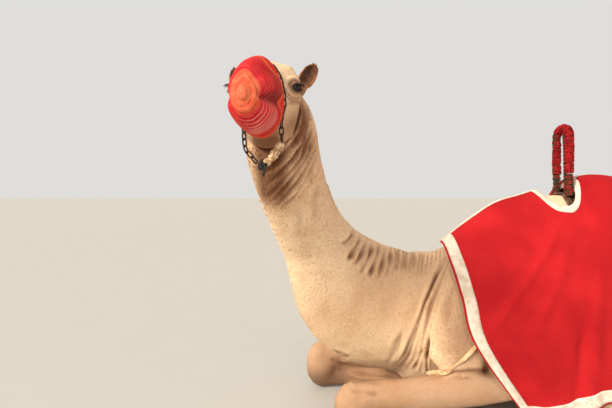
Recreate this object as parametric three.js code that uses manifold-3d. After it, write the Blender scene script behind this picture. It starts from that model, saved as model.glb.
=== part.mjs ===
// A couched dromedary camel: it lies on its chest pad, knees, stifles and hocks, with its neck raised and its head
// turned to its left. It wears a crocheted muzzle cover, a chain halter, a bound cloth and a saddle with a hoop handle.
// Millimetres. +Z is up, the camel faces -Y and its left side is +X. While it is built, the point on the floor below
// the front of its withers is zero; the finished group is moved so that the middle of its underside is the origin.

import * as THREE from 'three';
import { mergeVertices } from 'three/addons/utils/BufferGeometryUtils.js';
import Module from 'manifold-3d';

const wasm = await Module();
wasm.setup();

// ---- driving dimensions -------------------------------------------------------------------------------------------

const gap = 0.35; // between nodes that touch
const withersHeight = 897;
const humpHeight = 1182;
const rumpLength = 1300; // from the front of the withers to the pin bones
const barrelHalfWidth = 308;
const kneeReach = 640; // how far the left knee lies in front of the withers
const rightKneeLead = 100; // how much further forward the right knee lies
const kneeHeights = { left: 262, right: 292 };
const eyeCentre = new THREE.Vector3(906, -952, 1512); // the point midway between the eyes
const headTurn = 84; // degrees from straight ahead to the camel's left
const headPitch = -7; // degrees, nose down
const eyeRadius = 23;
const eyeHalfSpacing = 92;
const eyeOutward = 48; // degrees between the nose and the way each eye looks
const earHalfLength = 56;
const coverWall = 7;
const linkLength = 33;
const linkWidth = 20;
const linkWire = 5.5;
const clothThickness = 5;
const trimThickness = 3;
const trimWidth = 52;
const ridgeTrim = 36;
const trimInset = 9; // from the edge of the cloth to its tape
const openingHalf = [132, 106]; // of the hole in the cloth around the handle
const openingMiddle = [0, 652];
const openingTape = 26;
const handleAt = 722; // along the back
const handleTop = 1577;
const handleHalfWidth = 52;
const seatTop = 1256;
const strapFrom = [62, 432]; // along the back and up
const strapTo = [-152, 284];

const deg = THREE.MathUtils.degToRad;
const V = (x, y, z) => new THREE.Vector3(x, y, z);
const { lerp } = THREE.MathUtils;
const sides = [['left', 1], ['right', -1]];

// ---- solids -------------------------------------------------------------------------------------------------------

// A closed geometry as a manifold-3d solid.
function solid(geometry, matrix = new THREE.Matrix4()) {
  const bare = new THREE.BufferGeometry();
  bare.setAttribute('position', geometry.getAttribute('position').clone());
  if (geometry.index) bare.setIndex(geometry.index.clone());
  const merged = mergeVertices(bare.applyMatrix4(matrix), 1e-3);
  return new wasm.Manifold(
    new wasm.Mesh({
      numProp: 3,
      vertProperties: new Float32Array(merged.attributes.position.array),
      triVerts: new Uint32Array(merged.index.array),
    }),
  );
}

function geometryOf(made) {
  const mesh = made.getMesh();
  const points = new Float32Array(mesh.numVert * 3);
  for (let i = 0; i < mesh.numVert; i++) {
    points.set(mesh.vertProperties.subarray(i * mesh.numProp, i * mesh.numProp + 3), i * 3);
  }
  return new THREE.BufferGeometry()
    .setAttribute('position', new THREE.BufferAttribute(points, 3))
    .setIndex(new THREE.BufferAttribute(new Uint32Array(mesh.triVerts), 1));
}

const union = (...solids) => solids.reduce((a, b) => a.add(b));
const cut = (whole, ...tools) => tools.reduce((a, b) => a.subtract(b), whole);
const largest = (made) => made.decompose().reduce((a, b) => (a.volume() > b.volume() ? a : b));

// A skin over rings of points, closed by a fan at each end.
function skinOver(rings) {
  const count = rings[0].length;
  const points = rings.flat();
  const faces = [];
  for (let r = 0; r < rings.length - 1; r++) {
    for (let s = 0; s < count; s++) {
      const a = r * count + s;
      const b = r * count + ((s + 1) % count);
      faces.push(a, b + count, b, a, a + count, b + count);
    }
  }
  for (const [first, flip] of [[0, false], [(rings.length - 1) * count, true]]) {
    const ring = points.slice(first, first + count);
    const middle = points.length;
    points.push(ring.reduce((sum, p) => sum.add(p), V(0, 0, 0)).divideScalar(count));
    for (let s = 0; s < count; s++) {
      const a = first + s;
      const b = first + ((s + 1) % count);
      faces.push(...(flip ? [b, a, middle] : [a, b, middle]));
    }
  }
  return new THREE.BufferGeometry().setFromPoints(points).setIndex(faces);
}

// A solid swept along stations. Each station has its centre, its half width, its half height above and below the
// centre, and may have its own up direction. taper narrows the upper and the lower half, and square fills the corners.
// swell gives a height added outwards, from the centre of the ring and the angle round it.
function sweep(stations, options = {}) {
  const { rings = 12, around = 20, up = V(0, 0, 1), grow = 0, from = 0, to = 1, round = [0, 0] } = options;
  const swell = options.swell ?? (() => 0);
  const pick = (f) => new THREE.CatmullRomCurve3(stations.map(f), false, 'catmullrom', 0.5);
  const centres = pick((s) => V(...s.at));
  const sizes = pick((s) => V(s.wide, s.high ?? s.wide, s.low ?? s.high ?? s.wide));
  const shapes = pick((s) => V(...(s.taper ?? [0, 0]), s.square ?? 2));
  const ups = pick((s) => (s.up ? V(...s.up) : up));
  const ring = (t, scale = 1, shift = 0) => {
    const along = centres.getTangent(t);
    const side = new THREE.Vector3().crossVectors(along, ups.getPoint(t)).normalize();
    const rise = new THREE.Vector3().crossVectors(side, along);
    const size = sizes.getPoint(t);
    const [taperUp, taperDown, square] = shapes.getPoint(t).toArray();
    const centre = centres.getPoint(t).addScaledVector(along, shift);
    return Array.from({ length: around }, (_, i) => {
      const turn = (2 * Math.PI * i) / around;
      const bend = (v) => Math.sign(v) * Math.abs(v) ** (2 / square);
      const c = bend(Math.cos(turn));
      const s = bend(Math.sin(turn));
      const taper = 1 - (s > 0 ? taperUp : taperDown) * s * s;
      const more = grow + swell(centre, Math.asin(Math.sin(turn))) * scale;
      const wide = size.x * scale * c * taper + more * Math.cos(turn);
      const high = (s > 0 ? size.y : size.z) * scale * s + more * Math.sin(turn);
      return centre.clone().addScaledVector(side, wide).addScaledVector(rise, high);
    });
  };
  const made = [];
  const dome = [0.5, 0.85];
  if (round[0]) for (const d of [...dome].reverse()) made.push(ring(from, Math.sqrt(1 - d * d), -d * round[0] - grow));
  else if (grow) made.push(ring(from, 1, -grow));
  for (let r = 0; r <= rings; r++) made.push(ring(lerp(from, to, r / rings)));
  if (round[1]) for (const d of dome) made.push(ring(to, Math.sqrt(1 - d * d), d * round[1] + grow));
  else if (grow) made.push(ring(to, 1, grow));
  return solid(skinOver(made));
}

function ball(at, radii, { grow = 0, detail = [14, 8], turn = [0, 0, 0] } = {}) {
  const matrix = new THREE.Matrix4().compose(
    V(...at),
    new THREE.Quaternion().setFromEuler(new THREE.Euler(...turn.map(deg))),
    V(...radii.map((r) => r + grow)),
  );
  return solid(new THREE.SphereGeometry(1, ...detail), matrix);
}

function block(low, high) {
  const size = V(...high).sub(V(...low));
  const middle = V(...high).add(V(...low)).multiplyScalar(0.5);
  return solid(new THREE.BoxGeometry(...size.toArray()).translate(...middle.toArray()));
}

const far = 3000;
const aboveFloor = block([-far, -far, 0], [far, far, far]);
const between = (y0, y1) => block([-far, y0, -far], [far, y1, far]);

// ---- trunk --------------------------------------------------------------------------------------------------------

const trunkStations = [
  { y: -300, half: 122, top: 796, bottom: 262, taper: [0.3, 0.2] },
  { y: -180, half: 202, top: 866, bottom: 165, taper: [0.4, 0.35] },
  { y: 0, half: 240, top: withersHeight, bottom: 62, taper: [0.5, 0.45] },
  { y: 200, half: 270, top: 925, bottom: 36, taper: [0.48, 0.42] },
  { y: 400, half: 296, top: 950, bottom: 46, taper: [0.42, 0.3] },
  { y: 600, half: barrelHalfWidth, top: 962, bottom: 60, taper: [0.36, 0.22] },
  { y: 800, half: barrelHalfWidth - 5, top: 952, bottom: 70, taper: [0.34, 0.25] },
  { y: 980, half: 284, top: 925, bottom: 92, taper: [0.35, 0.35] },
  { y: 1130, half: 228, top: 872, bottom: 160, taper: [0.35, 0.4], core: 500 },
  { y: rumpLength - 50, half: 158, top: 792, bottom: 330, taper: [0.3, 0.3], core: 520 },
].map(({ y, half, top, bottom, taper, core }) => {
  const middle = core ?? lerp(bottom, top, 0.47);
  return { at: [0, y, middle], wide: half, high: top - middle, low: middle - bottom, taper, square: 2.15 };
});

// The trunk rests on the pad below its breastbone.
function trunk(grow = 0) {
  const barrel = sweep(trunkStations, { rings: 14, around: 18, grow, round: [70, 62] });
  return union(barrel, ball([0, 120, 70], [118, 165, 84], { grow, detail: [12, 8] }));
}

const humpStations = [
  { y: 40, half: 60, top: 900 },
  { y: 180, half: 105, top: 978 },
  { y: 330, half: 150, top: 1060 },
  { y: 480, half: 175, top: 1138 },
  { y: 600, half: 182, top: humpHeight - 2 },
  { y: 720, half: 182, top: humpHeight },
  { y: 850, half: 172, top: 1140 },
  { y: 980, half: 145, top: 1035 },
  { y: 1090, half: 90, top: 920 },
].map(({ y, half, top }) => {
  const foot = Math.min(top - 60, 800);
  return { at: [0, y, foot], wide: half, high: top - foot, low: 60, taper: [0.42, 0.2], square: 2.2 };
});

const hump = (grow = 0) => sweep(humpStations, { rings: 8, around: 14, grow, round: [25, 25] });

const tailStations = [
  { at: [0, 1215, 758], wide: 74, high: 48 },
  { at: [0, 1300, 706], wide: 52, high: 42 },
  { at: [5, 1358, 620], wide: 34, high: 32 },
  { at: [14, 1386, 510], wide: 26, high: 25 },
  { at: [32, 1394, 410], wide: 21, high: 21 },
  { at: [46, 1392, 330], wide: 18, high: 18 },
];
const tail = (grow = 0) => sweep(tailStations, { rings: 8, around: 12, up: V(0, 1, 0), grow, round: [0, 10] });

// Numbers between zero and one, the same ones each time.
let seed = 11;
const draw = () => {
  seed = (seed * 16807) % 2147483647;
  return seed / 2147483647;
};

// Tapered locks that hang round the end of the tail, over a slim core.
function tailTuft() {
  const core = [
    { at: [40, 1394, 358], wide: 22, high: 22 },
    { at: [48, 1390, 290], wide: 25, high: 24 },
    { at: [56, 1388, 200], wide: 19, high: 18 },
    { at: [62, 1388, 128], wide: 6, high: 6 },
  ];
  const locks = Array.from({ length: 7 }, (_, i) => {
    const [ax, ay] = [Math.cos(i * 2.4), Math.sin(i * 2.4)];
    const top = 388 - 7 * i;
    const tip = 84 + 11 * (i % 5) + 20 * draw();
    const lean = 14 + 14 * draw();
    const stations = [
      { at: [40 + ax * 9, 1393 + ay * 9, top], wide: 8, high: 8 },
      { at: [47 + ax * 20, 1391 + ay * 20, lerp(top, tip, 0.35)], wide: 15, high: 13 },
      { at: [55 + ax * 21, 1388 + ay * 21, lerp(top, tip, 0.7)], wide: 12, high: 10 },
      { at: [60 + ax * lean, 1387 + ay * lean, tip], wide: 2, high: 2 },
    ];
    return sweep(stations, { rings: 3, around: 4, up: V(0, 1, 0) });
  });
  return union(sweep(core, { rings: 3, around: 7, up: V(0, 1, 0), round: [6, 6] }), ...locks);
}

// ---- neck ---------------------------------------------------------------------------------------------------------

// facing is how far this length of the neck is turned to the left, in degrees
const neckStations = [
  { at: [0, 60, 520], wide: 190, high: 300, low: 330, facing: 0, lean: 1, taper: [0.5, 0.3] },
  { at: [0, -80, 530], wide: 225, high: 336, low: 345, facing: 0, lean: 1, taper: [0.42, 0.3] },
  { at: [14, -245, 520], wide: 222, high: 343, low: 338, facing: 4, lean: 1, taper: [0.35, 0.2] },
  { at: [116, -450, 632], wide: 182, high: 318, low: 336, facing: 16, lean: 1, taper: [0.3, 0.12] },
  { at: [254, -612, 808], wide: 142, high: 222, low: 292, facing: 24, lean: 0.5, taper: [0.2, 0.05] },
  { at: [384, -727, 971], wide: 110, high: 157, low: 184, facing: 30, lean: 0, taper: [0.12, 0] },
  { at: [540, -826, 1146], wide: 99, high: 148, low: 153, facing: 34, lean: 0, taper: [0.1, 0] },
  { at: [655, -878, 1295], wide: 103, high: 158, low: 156, facing: 38, lean: 0, taper: [0.1, 0] },
  { at: [728, -902, 1400], wide: 108, high: 162, low: 148, facing: 44, lean: 0, taper: [0.1, 0] },
  { at: [772, -917, 1482], wide: 98, high: 136, low: 106, facing: 56, lean: 0, taper: [0, 0] },
  { at: [806, -926, 1545], wide: 66, high: 76, low: 58, facing: 70, lean: 0, taper: [0, 0] },
].map(({ facing, lean, ...station }) => ({
  ...station,
  up: [-Math.sin(deg(facing)), Math.cos(deg(facing)), lean],
}));

const neckLength = (from, to, rings, grow = 0, round = [0, 0]) =>
  sweep(neckStations, { rings, around: 18, grow, from, to, round });

// ---- head ---------------------------------------------------------------------------------------------------------

// The head is built in its own frame: +X to the nose, +Y to its left, +Z up, with zero midway between the eyes.
const headPlace = new THREE.Matrix4()
  .makeTranslation(eyeCentre)
  .multiply(new THREE.Matrix4().makeRotationZ(deg(headTurn - 90)))
  .multiply(new THREE.Matrix4().makeRotationY(deg(-headPitch)));
const placed = (made) => solid(geometryOf(made), headPlace);

// brow is the half width at the level of the eyes, jaw the half width low down
const skullStations = [
  { x: -172, top: 58, bottom: -98, brow: 66, jaw: 62 },
  { x: -135, top: 81, bottom: -158, brow: 86, jaw: 90 },
  { x: -90, top: 93, bottom: -196, brow: 91, jaw: 100 },
  { x: -40, top: 94, bottom: -197, brow: 88, jaw: 95 },
  { x: 10, top: 84, bottom: -180, brow: 78, jaw: 78 },
  { x: 55, top: 68, bottom: -152, brow: 57, jaw: 59 },
  { x: 100, top: 54, bottom: -132, brow: 47, jaw: 49 },
  { x: 180, top: 41, bottom: -119, brow: 49, jaw: 46 },
  { x: 240, top: 22, bottom: -112, brow: 45, jaw: 42 },
  { x: 284, top: 0, bottom: -104, brow: 34, jaw: 32 },
].map(({ x, top, bottom, brow, jaw }) => {
  const middle = lerp(bottom, top, 0.58);
  return {
    at: [x, 0, middle],
    wide: (brow + jaw) / 2 + 3,
    high: top - middle,
    low: middle - bottom,
    taper: [0.14 - (brow - jaw) / 250, 0.14 + (brow - jaw) / 120],
    square: 2.35,
  };
});

// Where the head swells or sinks: how far along it, at how many degrees above its side, by how much, and the spread.
const headSwells = [
  { x: 2, rise: 12, by: 27, long: 38, deep: 27 }, // orbit
  { x: -22, rise: 38, by: 21, long: 46, deep: 18 }, // brow
  { x: -56, rise: 6, by: 19, long: 46, deep: 20 }, // arch of the cheekbone behind the eye
  { x: 44, rise: -10, by: 9, long: 34, deep: 12 }, // cheekbone
  { x: -72, rise: -36, by: 13, long: 40, deep: 20 }, // jaw muscle
  { x: -112, rise: 22, by: 24, long: 22, deep: 17 }, // root of the ear
  { x: -72, rise: 30, by: -5, long: 16, deep: 10 }, // temple
  { x: -92, rise: 48, by: 9, long: 34, deep: 16 }, // crown beside the poll
  { x: -122, rise: 82, by: 9, long: 26, deep: 30 }, // poll
  { x: 262, rise: 58, by: 4, long: 20, deep: 14 }, // nostril
  { x: 284, rise: -6, by: 6, long: 24, deep: 22 }, // upper lip
  { x: 264, rise: -84, by: 10, long: 24, deep: 26 }, // lower lip
];

function headSwell({ x }, angle) {
  const bump = (b) => Math.exp(-(((x - b.x) / b.long) ** 2) - ((angle / deg(1) - b.rise) / b.deep) ** 2);
  return headSwells.reduce((sum, b) => sum + b.by * bump(b), 0);
}

// The whole outside of the head, before the eyes, the nostrils and the mouth are cut in.
const headForm = (grow = 0) =>
  union(
    sweep(skullStations, { rings: 17, around: 18, grow, round: [22, 26], swell: headSwell }),
    ...sides.map(([, side]) => atEye(ball([-3, 0, 0], [29, 35, 31], { grow, detail: [12, 7] }), side)),
  );

// Each eye has its own frame: +X outwards through the pupil, +Z up, with zero at the middle of the eyeball.
const atEye = (made, side) => {
  const place = new THREE.Matrix4()
    .makeTranslation(6, side * eyeHalfSpacing, -4)
    .multiply(new THREE.Matrix4().makeRotationZ(deg(side * eyeOutward)));
  return solid(geometryOf(made), place);
};

const eyeball = (side, grow = 0) =>
  atEye(ball([0, 0, 0], [eyeRadius, eyeRadius, eyeRadius], { grow, detail: [12, 7], turn: [0, 0, -90] }), side);

// The rims of the lids: two rolls over the eyeball that meet at its corners, the rear one a little higher.
function lids(side) {
  const rim = (angle, tall) => {
    const y = 22 * Math.cos(angle);
    const z = tall * Math.sin(angle) + side * y * 0.16;
    return { at: [Math.sqrt(26.5 ** 2 - y * y - z * z), y, z], wide: 3.4 + Math.abs(Math.sin(angle)), high: 3.6 };
  };
  return [14.5, -13].map((tall) => {
    const stations = Array.from({ length: 6 }, (_, i) => rim((Math.PI * i) / 5, tall));
    return atEye(sweep(stations, { rings: 5, around: 5, up: V(1, 0, 0) }), side);
  });
}

function headSolid() {
  const cuts = sides.flatMap(([, side]) => [
    atEye(ball([27, 0, 0.5], [14, 21, 13], { turn: [side * 9, 0, 0], detail: [10, 5] }), side), // between the lids
    ball([268, side * 28, -2], [20, 7, 5], { turn: [0, 40, side * -24], detail: [8, 5] }), // nostril
    ball([236, side * 43, -66], [60, 15, 3.2], { turn: [0, 6, side * -3], detail: [10, 4] }), // mouth
  ]);
  const lipSplit = ball([314, 0, -36], [16, 2.6, 26], { detail: [8, 6] });
  const mouthFront = ball([290, 0, -69], [34, 40, 3.4], { detail: [12, 4] });
  const skin = cut(headForm(), ...cuts, lipSplit, mouthFront);
  const sockets = sides.map(([, side]) => eyeball(side, gap));
  return largest(cut(union(skin, ...lids(1), ...lids(-1)), ...sockets));
}

// A cupped ear, open forwards and outwards, standing out from behind the eye.
const earLean = { left: { out: 33, back: 6 }, right: { out: 12, back: 32 } };

function ear(name, side) {
  const { out, back } = earLean[name];
  const outer = ball([0, 0, earHalfLength], [20, 31, earHalfLength], { detail: [10, 7] });
  const hollow = ball([14, side * 2, earHalfLength * 1.12], [19, 23, earHalfLength * 0.84], { detail: [8, 6] });
  const root = ball([-2, 0, 6], [22, 25, 36], { detail: [7, 5] });
  const stand = new THREE.Matrix4()
    .makeTranslation(-108, side * 104, 2)
    .multiply(new THREE.Matrix4().makeRotationFromEuler(new THREE.Euler(deg(side * -out), deg(-back), 0, 'YXZ')));
  return solid(geometryOf(cut(union(outer, root), hollow)), stand);
}

// ---- muzzle cover and halter --------------------------------------------------------------------------------------

const coverStations = [
  { x: 84, middle: -42, half: 70, tall: 119, narrow: 0.12 },
  { x: 120, middle: -44, half: 70, tall: 117, narrow: 0.18 },
  { x: 180, middle: -48, half: 69, tall: 108, narrow: 0.26 },
  { x: 240, middle: -53, half: 63, tall: 97, narrow: 0.32 },
  { x: 290, middle: -57, half: 54, tall: 82, narrow: 0.34 },
  { x: 322, middle: -60, half: 40, tall: 60, narrow: 0.3 },
  { x: 340, middle: -62, half: 20, tall: 30, narrow: 0.2 },
];

function muzzleCover() {
  const shell = (inset, shift) => {
    const stations = coverStations.map(({ x, middle, half, tall, narrow }) => ({
      at: [x + shift, 0, middle],
      wide: half - inset,
      high: tall - inset,
      taper: [narrow, 0.04],
      square: 2.15,
    }));
    return sweep(stations, { rings: 6, around: 15, round: [0, 6] });
  };
  return cut(shell(0, 0), shell(coverWall, -coverWall - 1), block([60, -200, -300], [85, 200, 200]));
}

// Links joined end to end along a curve, each turned a quarter from the last.
function chain(path) {
  const pitch = linkLength - linkWire * 1.15;
  const count = Math.round(path.getLength() / pitch);
  const links = Array.from({ length: count }, (_, i) => {
    const t = (i + 0.5) / count;
    const at = path.getPointAt(t);
    const along = path.getTangentAt(t);
    const out = V(0, at.y, at.z + 60).normalize();
    const side = new THREE.Vector3().crossVectors(along, out).normalize();
    const face = new THREE.Vector3().crossVectors(along, side);
    const ring = new THREE.TorusGeometry((linkWidth - linkWire) / 2, linkWire / 2, 3, 6);
    ring.scale((path.getLength() / count + linkWire * 1.2) / linkWidth, 1, 1);
    const place = new THREE.Matrix4()
      .makeTranslation(at)
      .multiply(new THREE.Matrix4().makeBasis(along, side, face))
      .multiply(new THREE.Matrix4().makeRotationX(deg(i % 2 ? 35 : -35)));
    return solid(ring, place);
  });
  return largest(union(...links));
}

const knotAt = V(28, -8, -250); // where the halter is tied below the chin

// The point on a solid's surface where a ray first meets it, lifted off it.
const ray = new THREE.Raycaster();
function touch(made, from, to, lift) {
  const target = new THREE.Mesh(geometryOf(made), new THREE.MeshBasicMaterial({ side: THREE.DoubleSide }));
  ray.set(from, to.clone().sub(from).normalize());
  const [hit] = ray.intersectObject(target);
  return hit.point.addScaledVector(hit.face.normal, lift);
}

// Down the right side from the knot, over the nose bridge and down the left cheek.
function nosebandPath() {
  const face = headForm();
  const turns = [-136, -154, -172, 170, 152, 132, 108, 90, 72, 48, 28, 10, -8, -28, -50];
  const onFace = turns.map((turn) => {
    const x = 64 + 10 * Math.sin(deg(turn));
    const out = V(x, 260 * Math.cos(deg(turn)), -35 + 260 * Math.sin(deg(turn)));
    return touch(face, out, V(x, 0, -35), 9);
  });
  return new THREE.CatmullRomCurve3([V(30, -27, -240), V(37, -46, -216), V(46, -60, -186), ...onFace, V(48, 57, -174)]);
}

const haltercordStations = [
  { at: [47, 56, -182], wide: 9, high: 9 },
  { at: [43, 47, -195], wide: 14, high: 13 },
  { at: [38, 35, -211], wide: 11, high: 11 },
  { at: [34, 23, -226], wide: 13, high: 12 },
  { at: [30, 8, -239], wide: 8, high: 8 },
];

// ---- legs ---------------------------------------------------------------------------------------------------------

// The lengths of each leg, for the left side when side is 1.
function foreleg(side, lead, kneeHeight, grow = 0) {
  const knee = -kneeReach + 95 - lead;
  const x = (v) => side * v;
  const shoulder = [
    { at: [x(92), 66, 822], wide: 32, high: 80 },
    { at: [x(164), 16, 712], wide: 50, high: 128 },
    { at: [x(212), -30, 570], wide: 56, high: 158 },
    { at: [x(240), -20, 430], wide: 60, high: 166 },
    { at: [x(256), 30, 318], wide: 58, high: 128 },
  ];
  const forearm = [
    { at: [x(262), 262, 204], wide: 60, high: 64 },
    { at: [x(264), 130, 206], wide: 72, high: 82 },
    { at: [x(264), 0, 200], wide: 76, high: 90 },
    { at: [x(262), -150, 192], wide: 71, high: 86 },
    { at: [x(258), lerp(-150, knee, 0.55), 184], wide: 62, high: 76 },
    { at: [x(254), knee + 40, kneeHeight * 0.7], wide: 64, high: kneeHeight * 0.27 },
  ];
  const cannon = [
    { at: [x(250), knee + 10, 56], wide: 48, high: 52 },
    { at: [x(246), knee + 150, 54], wide: 40, high: 50 },
    { at: [x(240), knee + 320, 52], wide: 38, high: 47 },
    { at: [x(236), knee + 400, 52], wide: 46, high: 48 },
  ];
  const down = { rings: 5, around: 12, up: V(0, 1, 0.3), grow, round: [36, 50] };
  const kneecap = [70, 95, kneeHeight / 2 + 4];
  return {
    shoulder: sweep(shoulder, down),
    forearm: union(
      sweep(forearm, { rings: 4, around: 10, grow, round: [46, 0] }),
      ball([x(252), knee, kneeHeight / 2 - 4], kneecap, { grow, detail: [10, 6] }),
    ),
    forefoot: union(sweep(cannon, { rings: 3, around: 8, grow, round: [0, 20] }), ...toes(x(236), knee + 400, 1, grow)),
  };
}

// Two toes that lie back from the end of a cannon bone, or forward where the leg is a hind one.
function toes(x, y, way, grow) {
  return [-1, 1].map((toe) => {
    const stations = [
      { at: [x + toe * 14, y, 52], wide: 30, high: 40 },
      { at: [x + toe * 27, y + way * 75, 50], wide: 38, high: 40 },
      { at: [x + toe * 33, y + way * 145, 44], wide: 37, high: 38 },
      { at: [x + toe * 33, y + way * 185, 34], wide: 25, high: 27 },
    ];
    return sweep(stations, { rings: 3, around: 6, grow, round: [0, 12] });
  });
}

function hindleg(side, grow = 0) {
  const x = (v) => side * v;
  const thigh = [
    { at: [x(112), 1212, 560], wide: 98, high: 128, low: 165 },
    { at: [x(182), 1090, 505], wide: 110, high: 175, low: 215 },
    { at: [x(252), 900, 405], wide: 96, high: 160, low: 200 },
    { at: [x(292), 780, 275], wide: 80, high: 130, low: 160 },
    { at: [x(306), 705, 175], wide: 70, high: 98, low: 104 },
  ];
  const shank = [
    { at: [x(314), 690, 140], wide: 64, high: 92 },
    { at: [x(314), 820, 160], wide: 64, high: 80 },
    { at: [x(300), 980, 152], wide: 52, high: 58 },
    { at: [x(284), 1150, 134], wide: 44, high: 52 },
  ];
  const cannon = [
    { at: [x(284), 1180, 50], wide: 42, high: 46 },
    { at: [x(294), 1070, 42], wide: 34, high: 36 },
    { at: [x(304), 950, 42], wide: 34, high: 36 },
    { at: [x(308), 890, 46], wide: 44, high: 44 },
  ];
  return {
    thigh: sweep(thigh, { rings: 6, around: 12, up: V(0, -0.65, 0.7), grow, round: [50, 70] }),
    shank: union(
      sweep(shank, { rings: 4, around: 9, grow, round: [64, 0] }),
      ball([x(281), 1190, 92], [46, 68, 98], { grow, detail: [10, 6] }),
    ),
    hindfoot: union(sweep(cannon, { rings: 3, around: 8, grow, round: [0, 20] }), ...toes(x(312), 880, -1, grow)),
  };
}

// ---- cloth --------------------------------------------------------------------------------------------------------

// The left half of each rib of the cloth, from the ridge of the back down to the hem.
const ribs = [
  [V(0, 0, 903), V(172, -15, 808), V(264, 0, 655), V(322, 41, 441), V(368, 292, 75)],
  [V(0, 150, 1018), V(182, 152, 862), V(292, 170, 650), V(346, 206, 430), V(382, 400, 80)],
  [V(0, 300, 1116), V(192, 308, 912), V(310, 322, 665), V(360, 355, 430), V(397, 505, 108)],
  [V(0, 450, 1164), V(192, 458, 958), V(322, 468, 690), V(370, 490, 440), V(406, 614, 163)],
  [V(0, 600, 1203), V(192, 600, 995), V(332, 600, 706), V(378, 610, 446), V(409, 691, 188)],
  [V(0, 735, 1204), V(200, 728, 1030), V(334, 728, 722), V(378, 735, 452), V(406, 775, 201)],
  [V(0, 806, 1272), V(208, 806, 1190), V(306, 808, 860), V(372, 815, 500), V(402, 850, 213)],
  [V(0, 950, 1275), V(208, 950, 1193), V(300, 950, 850), V(362, 955, 500), V(396, 968, 215)],
  [V(0, 1092, 1225), V(196, 1092, 1137), V(282, 1090, 820), V(342, 1090, 500), V(380, 1082, 217)],
  [V(0, 1178, 1118), V(166, 1178, 1022), V(246, 1182, 786), V(310, 1180, 500), V(354, 1168, 219)],
  [V(0, 1240, 960), V(122, 1248, 890), V(212, 1250, 740), V(278, 1244, 490), V(326, 1228, 221)],
].map((half) => {
  const mirrored = half.slice(1).reverse().map((p) => V(-p.x, p.y, p.z));
  return new THREE.CatmullRomCurve3([...mirrored, ...half], false, 'catmullrom', 0.5);
});

// Points across each rib, from the right hem to the left one, kept for each line so that they are made once.
const ribLines = new Map();

function clothPoint(s, t) {
  if (!ribLines.has(t)) {
    const line = ribs.map((rib) => rib.getPoint(t));
    ribLines.set(t, new THREE.CatmullRomCurve3(line, false, 'catmullrom', 0.5));
  }
  return ribLines.get(t).getPoint(s);
}

function clothNormal(s, t) {
  const step = 0.004;
  const inside = (v) => Math.min(Math.max(v, step), 1 - step);
  const along = clothPoint(inside(s) + step, t).sub(clothPoint(inside(s) - step, t));
  const across = clothPoint(s, inside(t) + step).sub(clothPoint(s, inside(t) - step));
  return new THREE.Vector3().crossVectors(across, along).normalize();
}

// A layer of the cloth between two distances from its underside, over the cells of a grid that keep allows.
function layer(low, high, rows, columns, keep = () => true) {
  const points = [];
  for (const s of rows) {
    for (const t of columns) {
      const at = clothPoint(s, t);
      const out = clothNormal(s, t);
      points.push(at.clone().addScaledVector(out, low), at.clone().addScaledVector(out, high));
    }
  }
  const index = (r, c, top) => (r * columns.length + c) * 2 + top;
  const kept = (r, c) => r >= 0 && c >= 0 && r < rows.length - 1 && c < columns.length - 1 && keep(r, c);
  const faces = [];
  const quad = (a, b, c, d) => faces.push(a, b, c, a, c, d);
  for (let r = 0; r < rows.length - 1; r++) {
    for (let c = 0; c < columns.length - 1; c++) {
      if (!kept(r, c)) continue;
      const [a, b, d, e] = [[r, c], [r, c + 1], [r + 1, c + 1], [r + 1, c]];
      quad(index(...a, 1), index(...b, 1), index(...d, 1), index(...e, 1));
      quad(index(...a, 0), index(...e, 0), index(...d, 0), index(...b, 0));
      const walls = [[a, b, r - 1, c], [b, d, r, c + 1], [d, e, r + 1, c], [e, a, r, c - 1]];
      for (const [p, q, nextRow, nextColumn] of walls) {
        if (!kept(nextRow, nextColumn)) quad(index(...p, 0), index(...q, 0), index(...q, 1), index(...p, 1));
      }
    }
  }
  return solid(new THREE.BufferGeometry().setFromPoints(points).setIndex(faces));
}

const ridgeLength = 1560;
const ribLength = 2140;
const steps = (from, to, count) => Array.from({ length: count + 1 }, (_, i) => lerp(from, to, i / count));
const rowEdge = [trimInset / ridgeLength, (trimInset + trimWidth) / ridgeLength];
const columnEdge = [trimInset / ribLength, (trimInset + trimWidth) / ribLength];
const ridgeHalf = ridgeTrim / 2 / ribLength;
const rows = [0, ...rowEdge, ...steps(rowEdge[1], 1 - rowEdge[1], 12).slice(1, -1), 1 - rowEdge[1], 1 - rowEdge[0], 1];
const columns = [
  ...[0, ...columnEdge],
  ...steps(columnEdge[1], 0.5 - ridgeHalf, 5).slice(1, -1),
  ...[0.5 - ridgeHalf, 0.5 + ridgeHalf],
  ...steps(0.5 + ridgeHalf, 1 - columnEdge[1], 5).slice(1, -1),
  ...[1 - columnEdge[1], 1 - columnEdge[0], 1],
];

function openingPrism(grow) {
  const prism = new THREE.CylinderGeometry(1, 1, 900, 22);
  prism.rotateX(Math.PI / 2);
  prism.scale(openingHalf[0] + grow, openingHalf[1] + grow, 1);
  return solid(prism.translate(openingMiddle[0], openingMiddle[1], 1250));
}

const tapeLow = clothThickness + gap;
const tapeHigh = tapeLow + trimThickness;

const cloth = () => cut(layer(0, clothThickness, rows, columns), openingPrism(0));

// The tape round the edge of the cloth is one ring of cells, one cell in from the edge.
const borderTape = () => {
  const lastRow = rows.length - 2;
  const lastColumn = columns.length - 2;
  const ringOf = (r, c) => Math.min(r, c, lastRow - r, lastColumn - c);
  return layer(tapeLow, tapeHigh, rows, columns, (r, c) => ringOf(r, c) === 1);
};

const openingBinding = () => {
  const near = layer(tapeLow, tapeHigh, rows.slice(5, 12), columns.slice(5, 11));
  return largest(cut(near.intersect(openingPrism(openingTape)), openingPrism(0)));
};

// The tape along the ridge, before the opening or behind it.
const ridgeTape = (y0, y1) => {
  const middle = columns.indexOf(0.5 - ridgeHalf);
  const strip = layer(tapeLow, tapeHigh, rows.slice(2, -2), columns.slice(middle, middle + 2));
  return largest(cut(strip, openingPrism(openingTape + gap)).intersect(between(y0, y1)));
};

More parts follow.
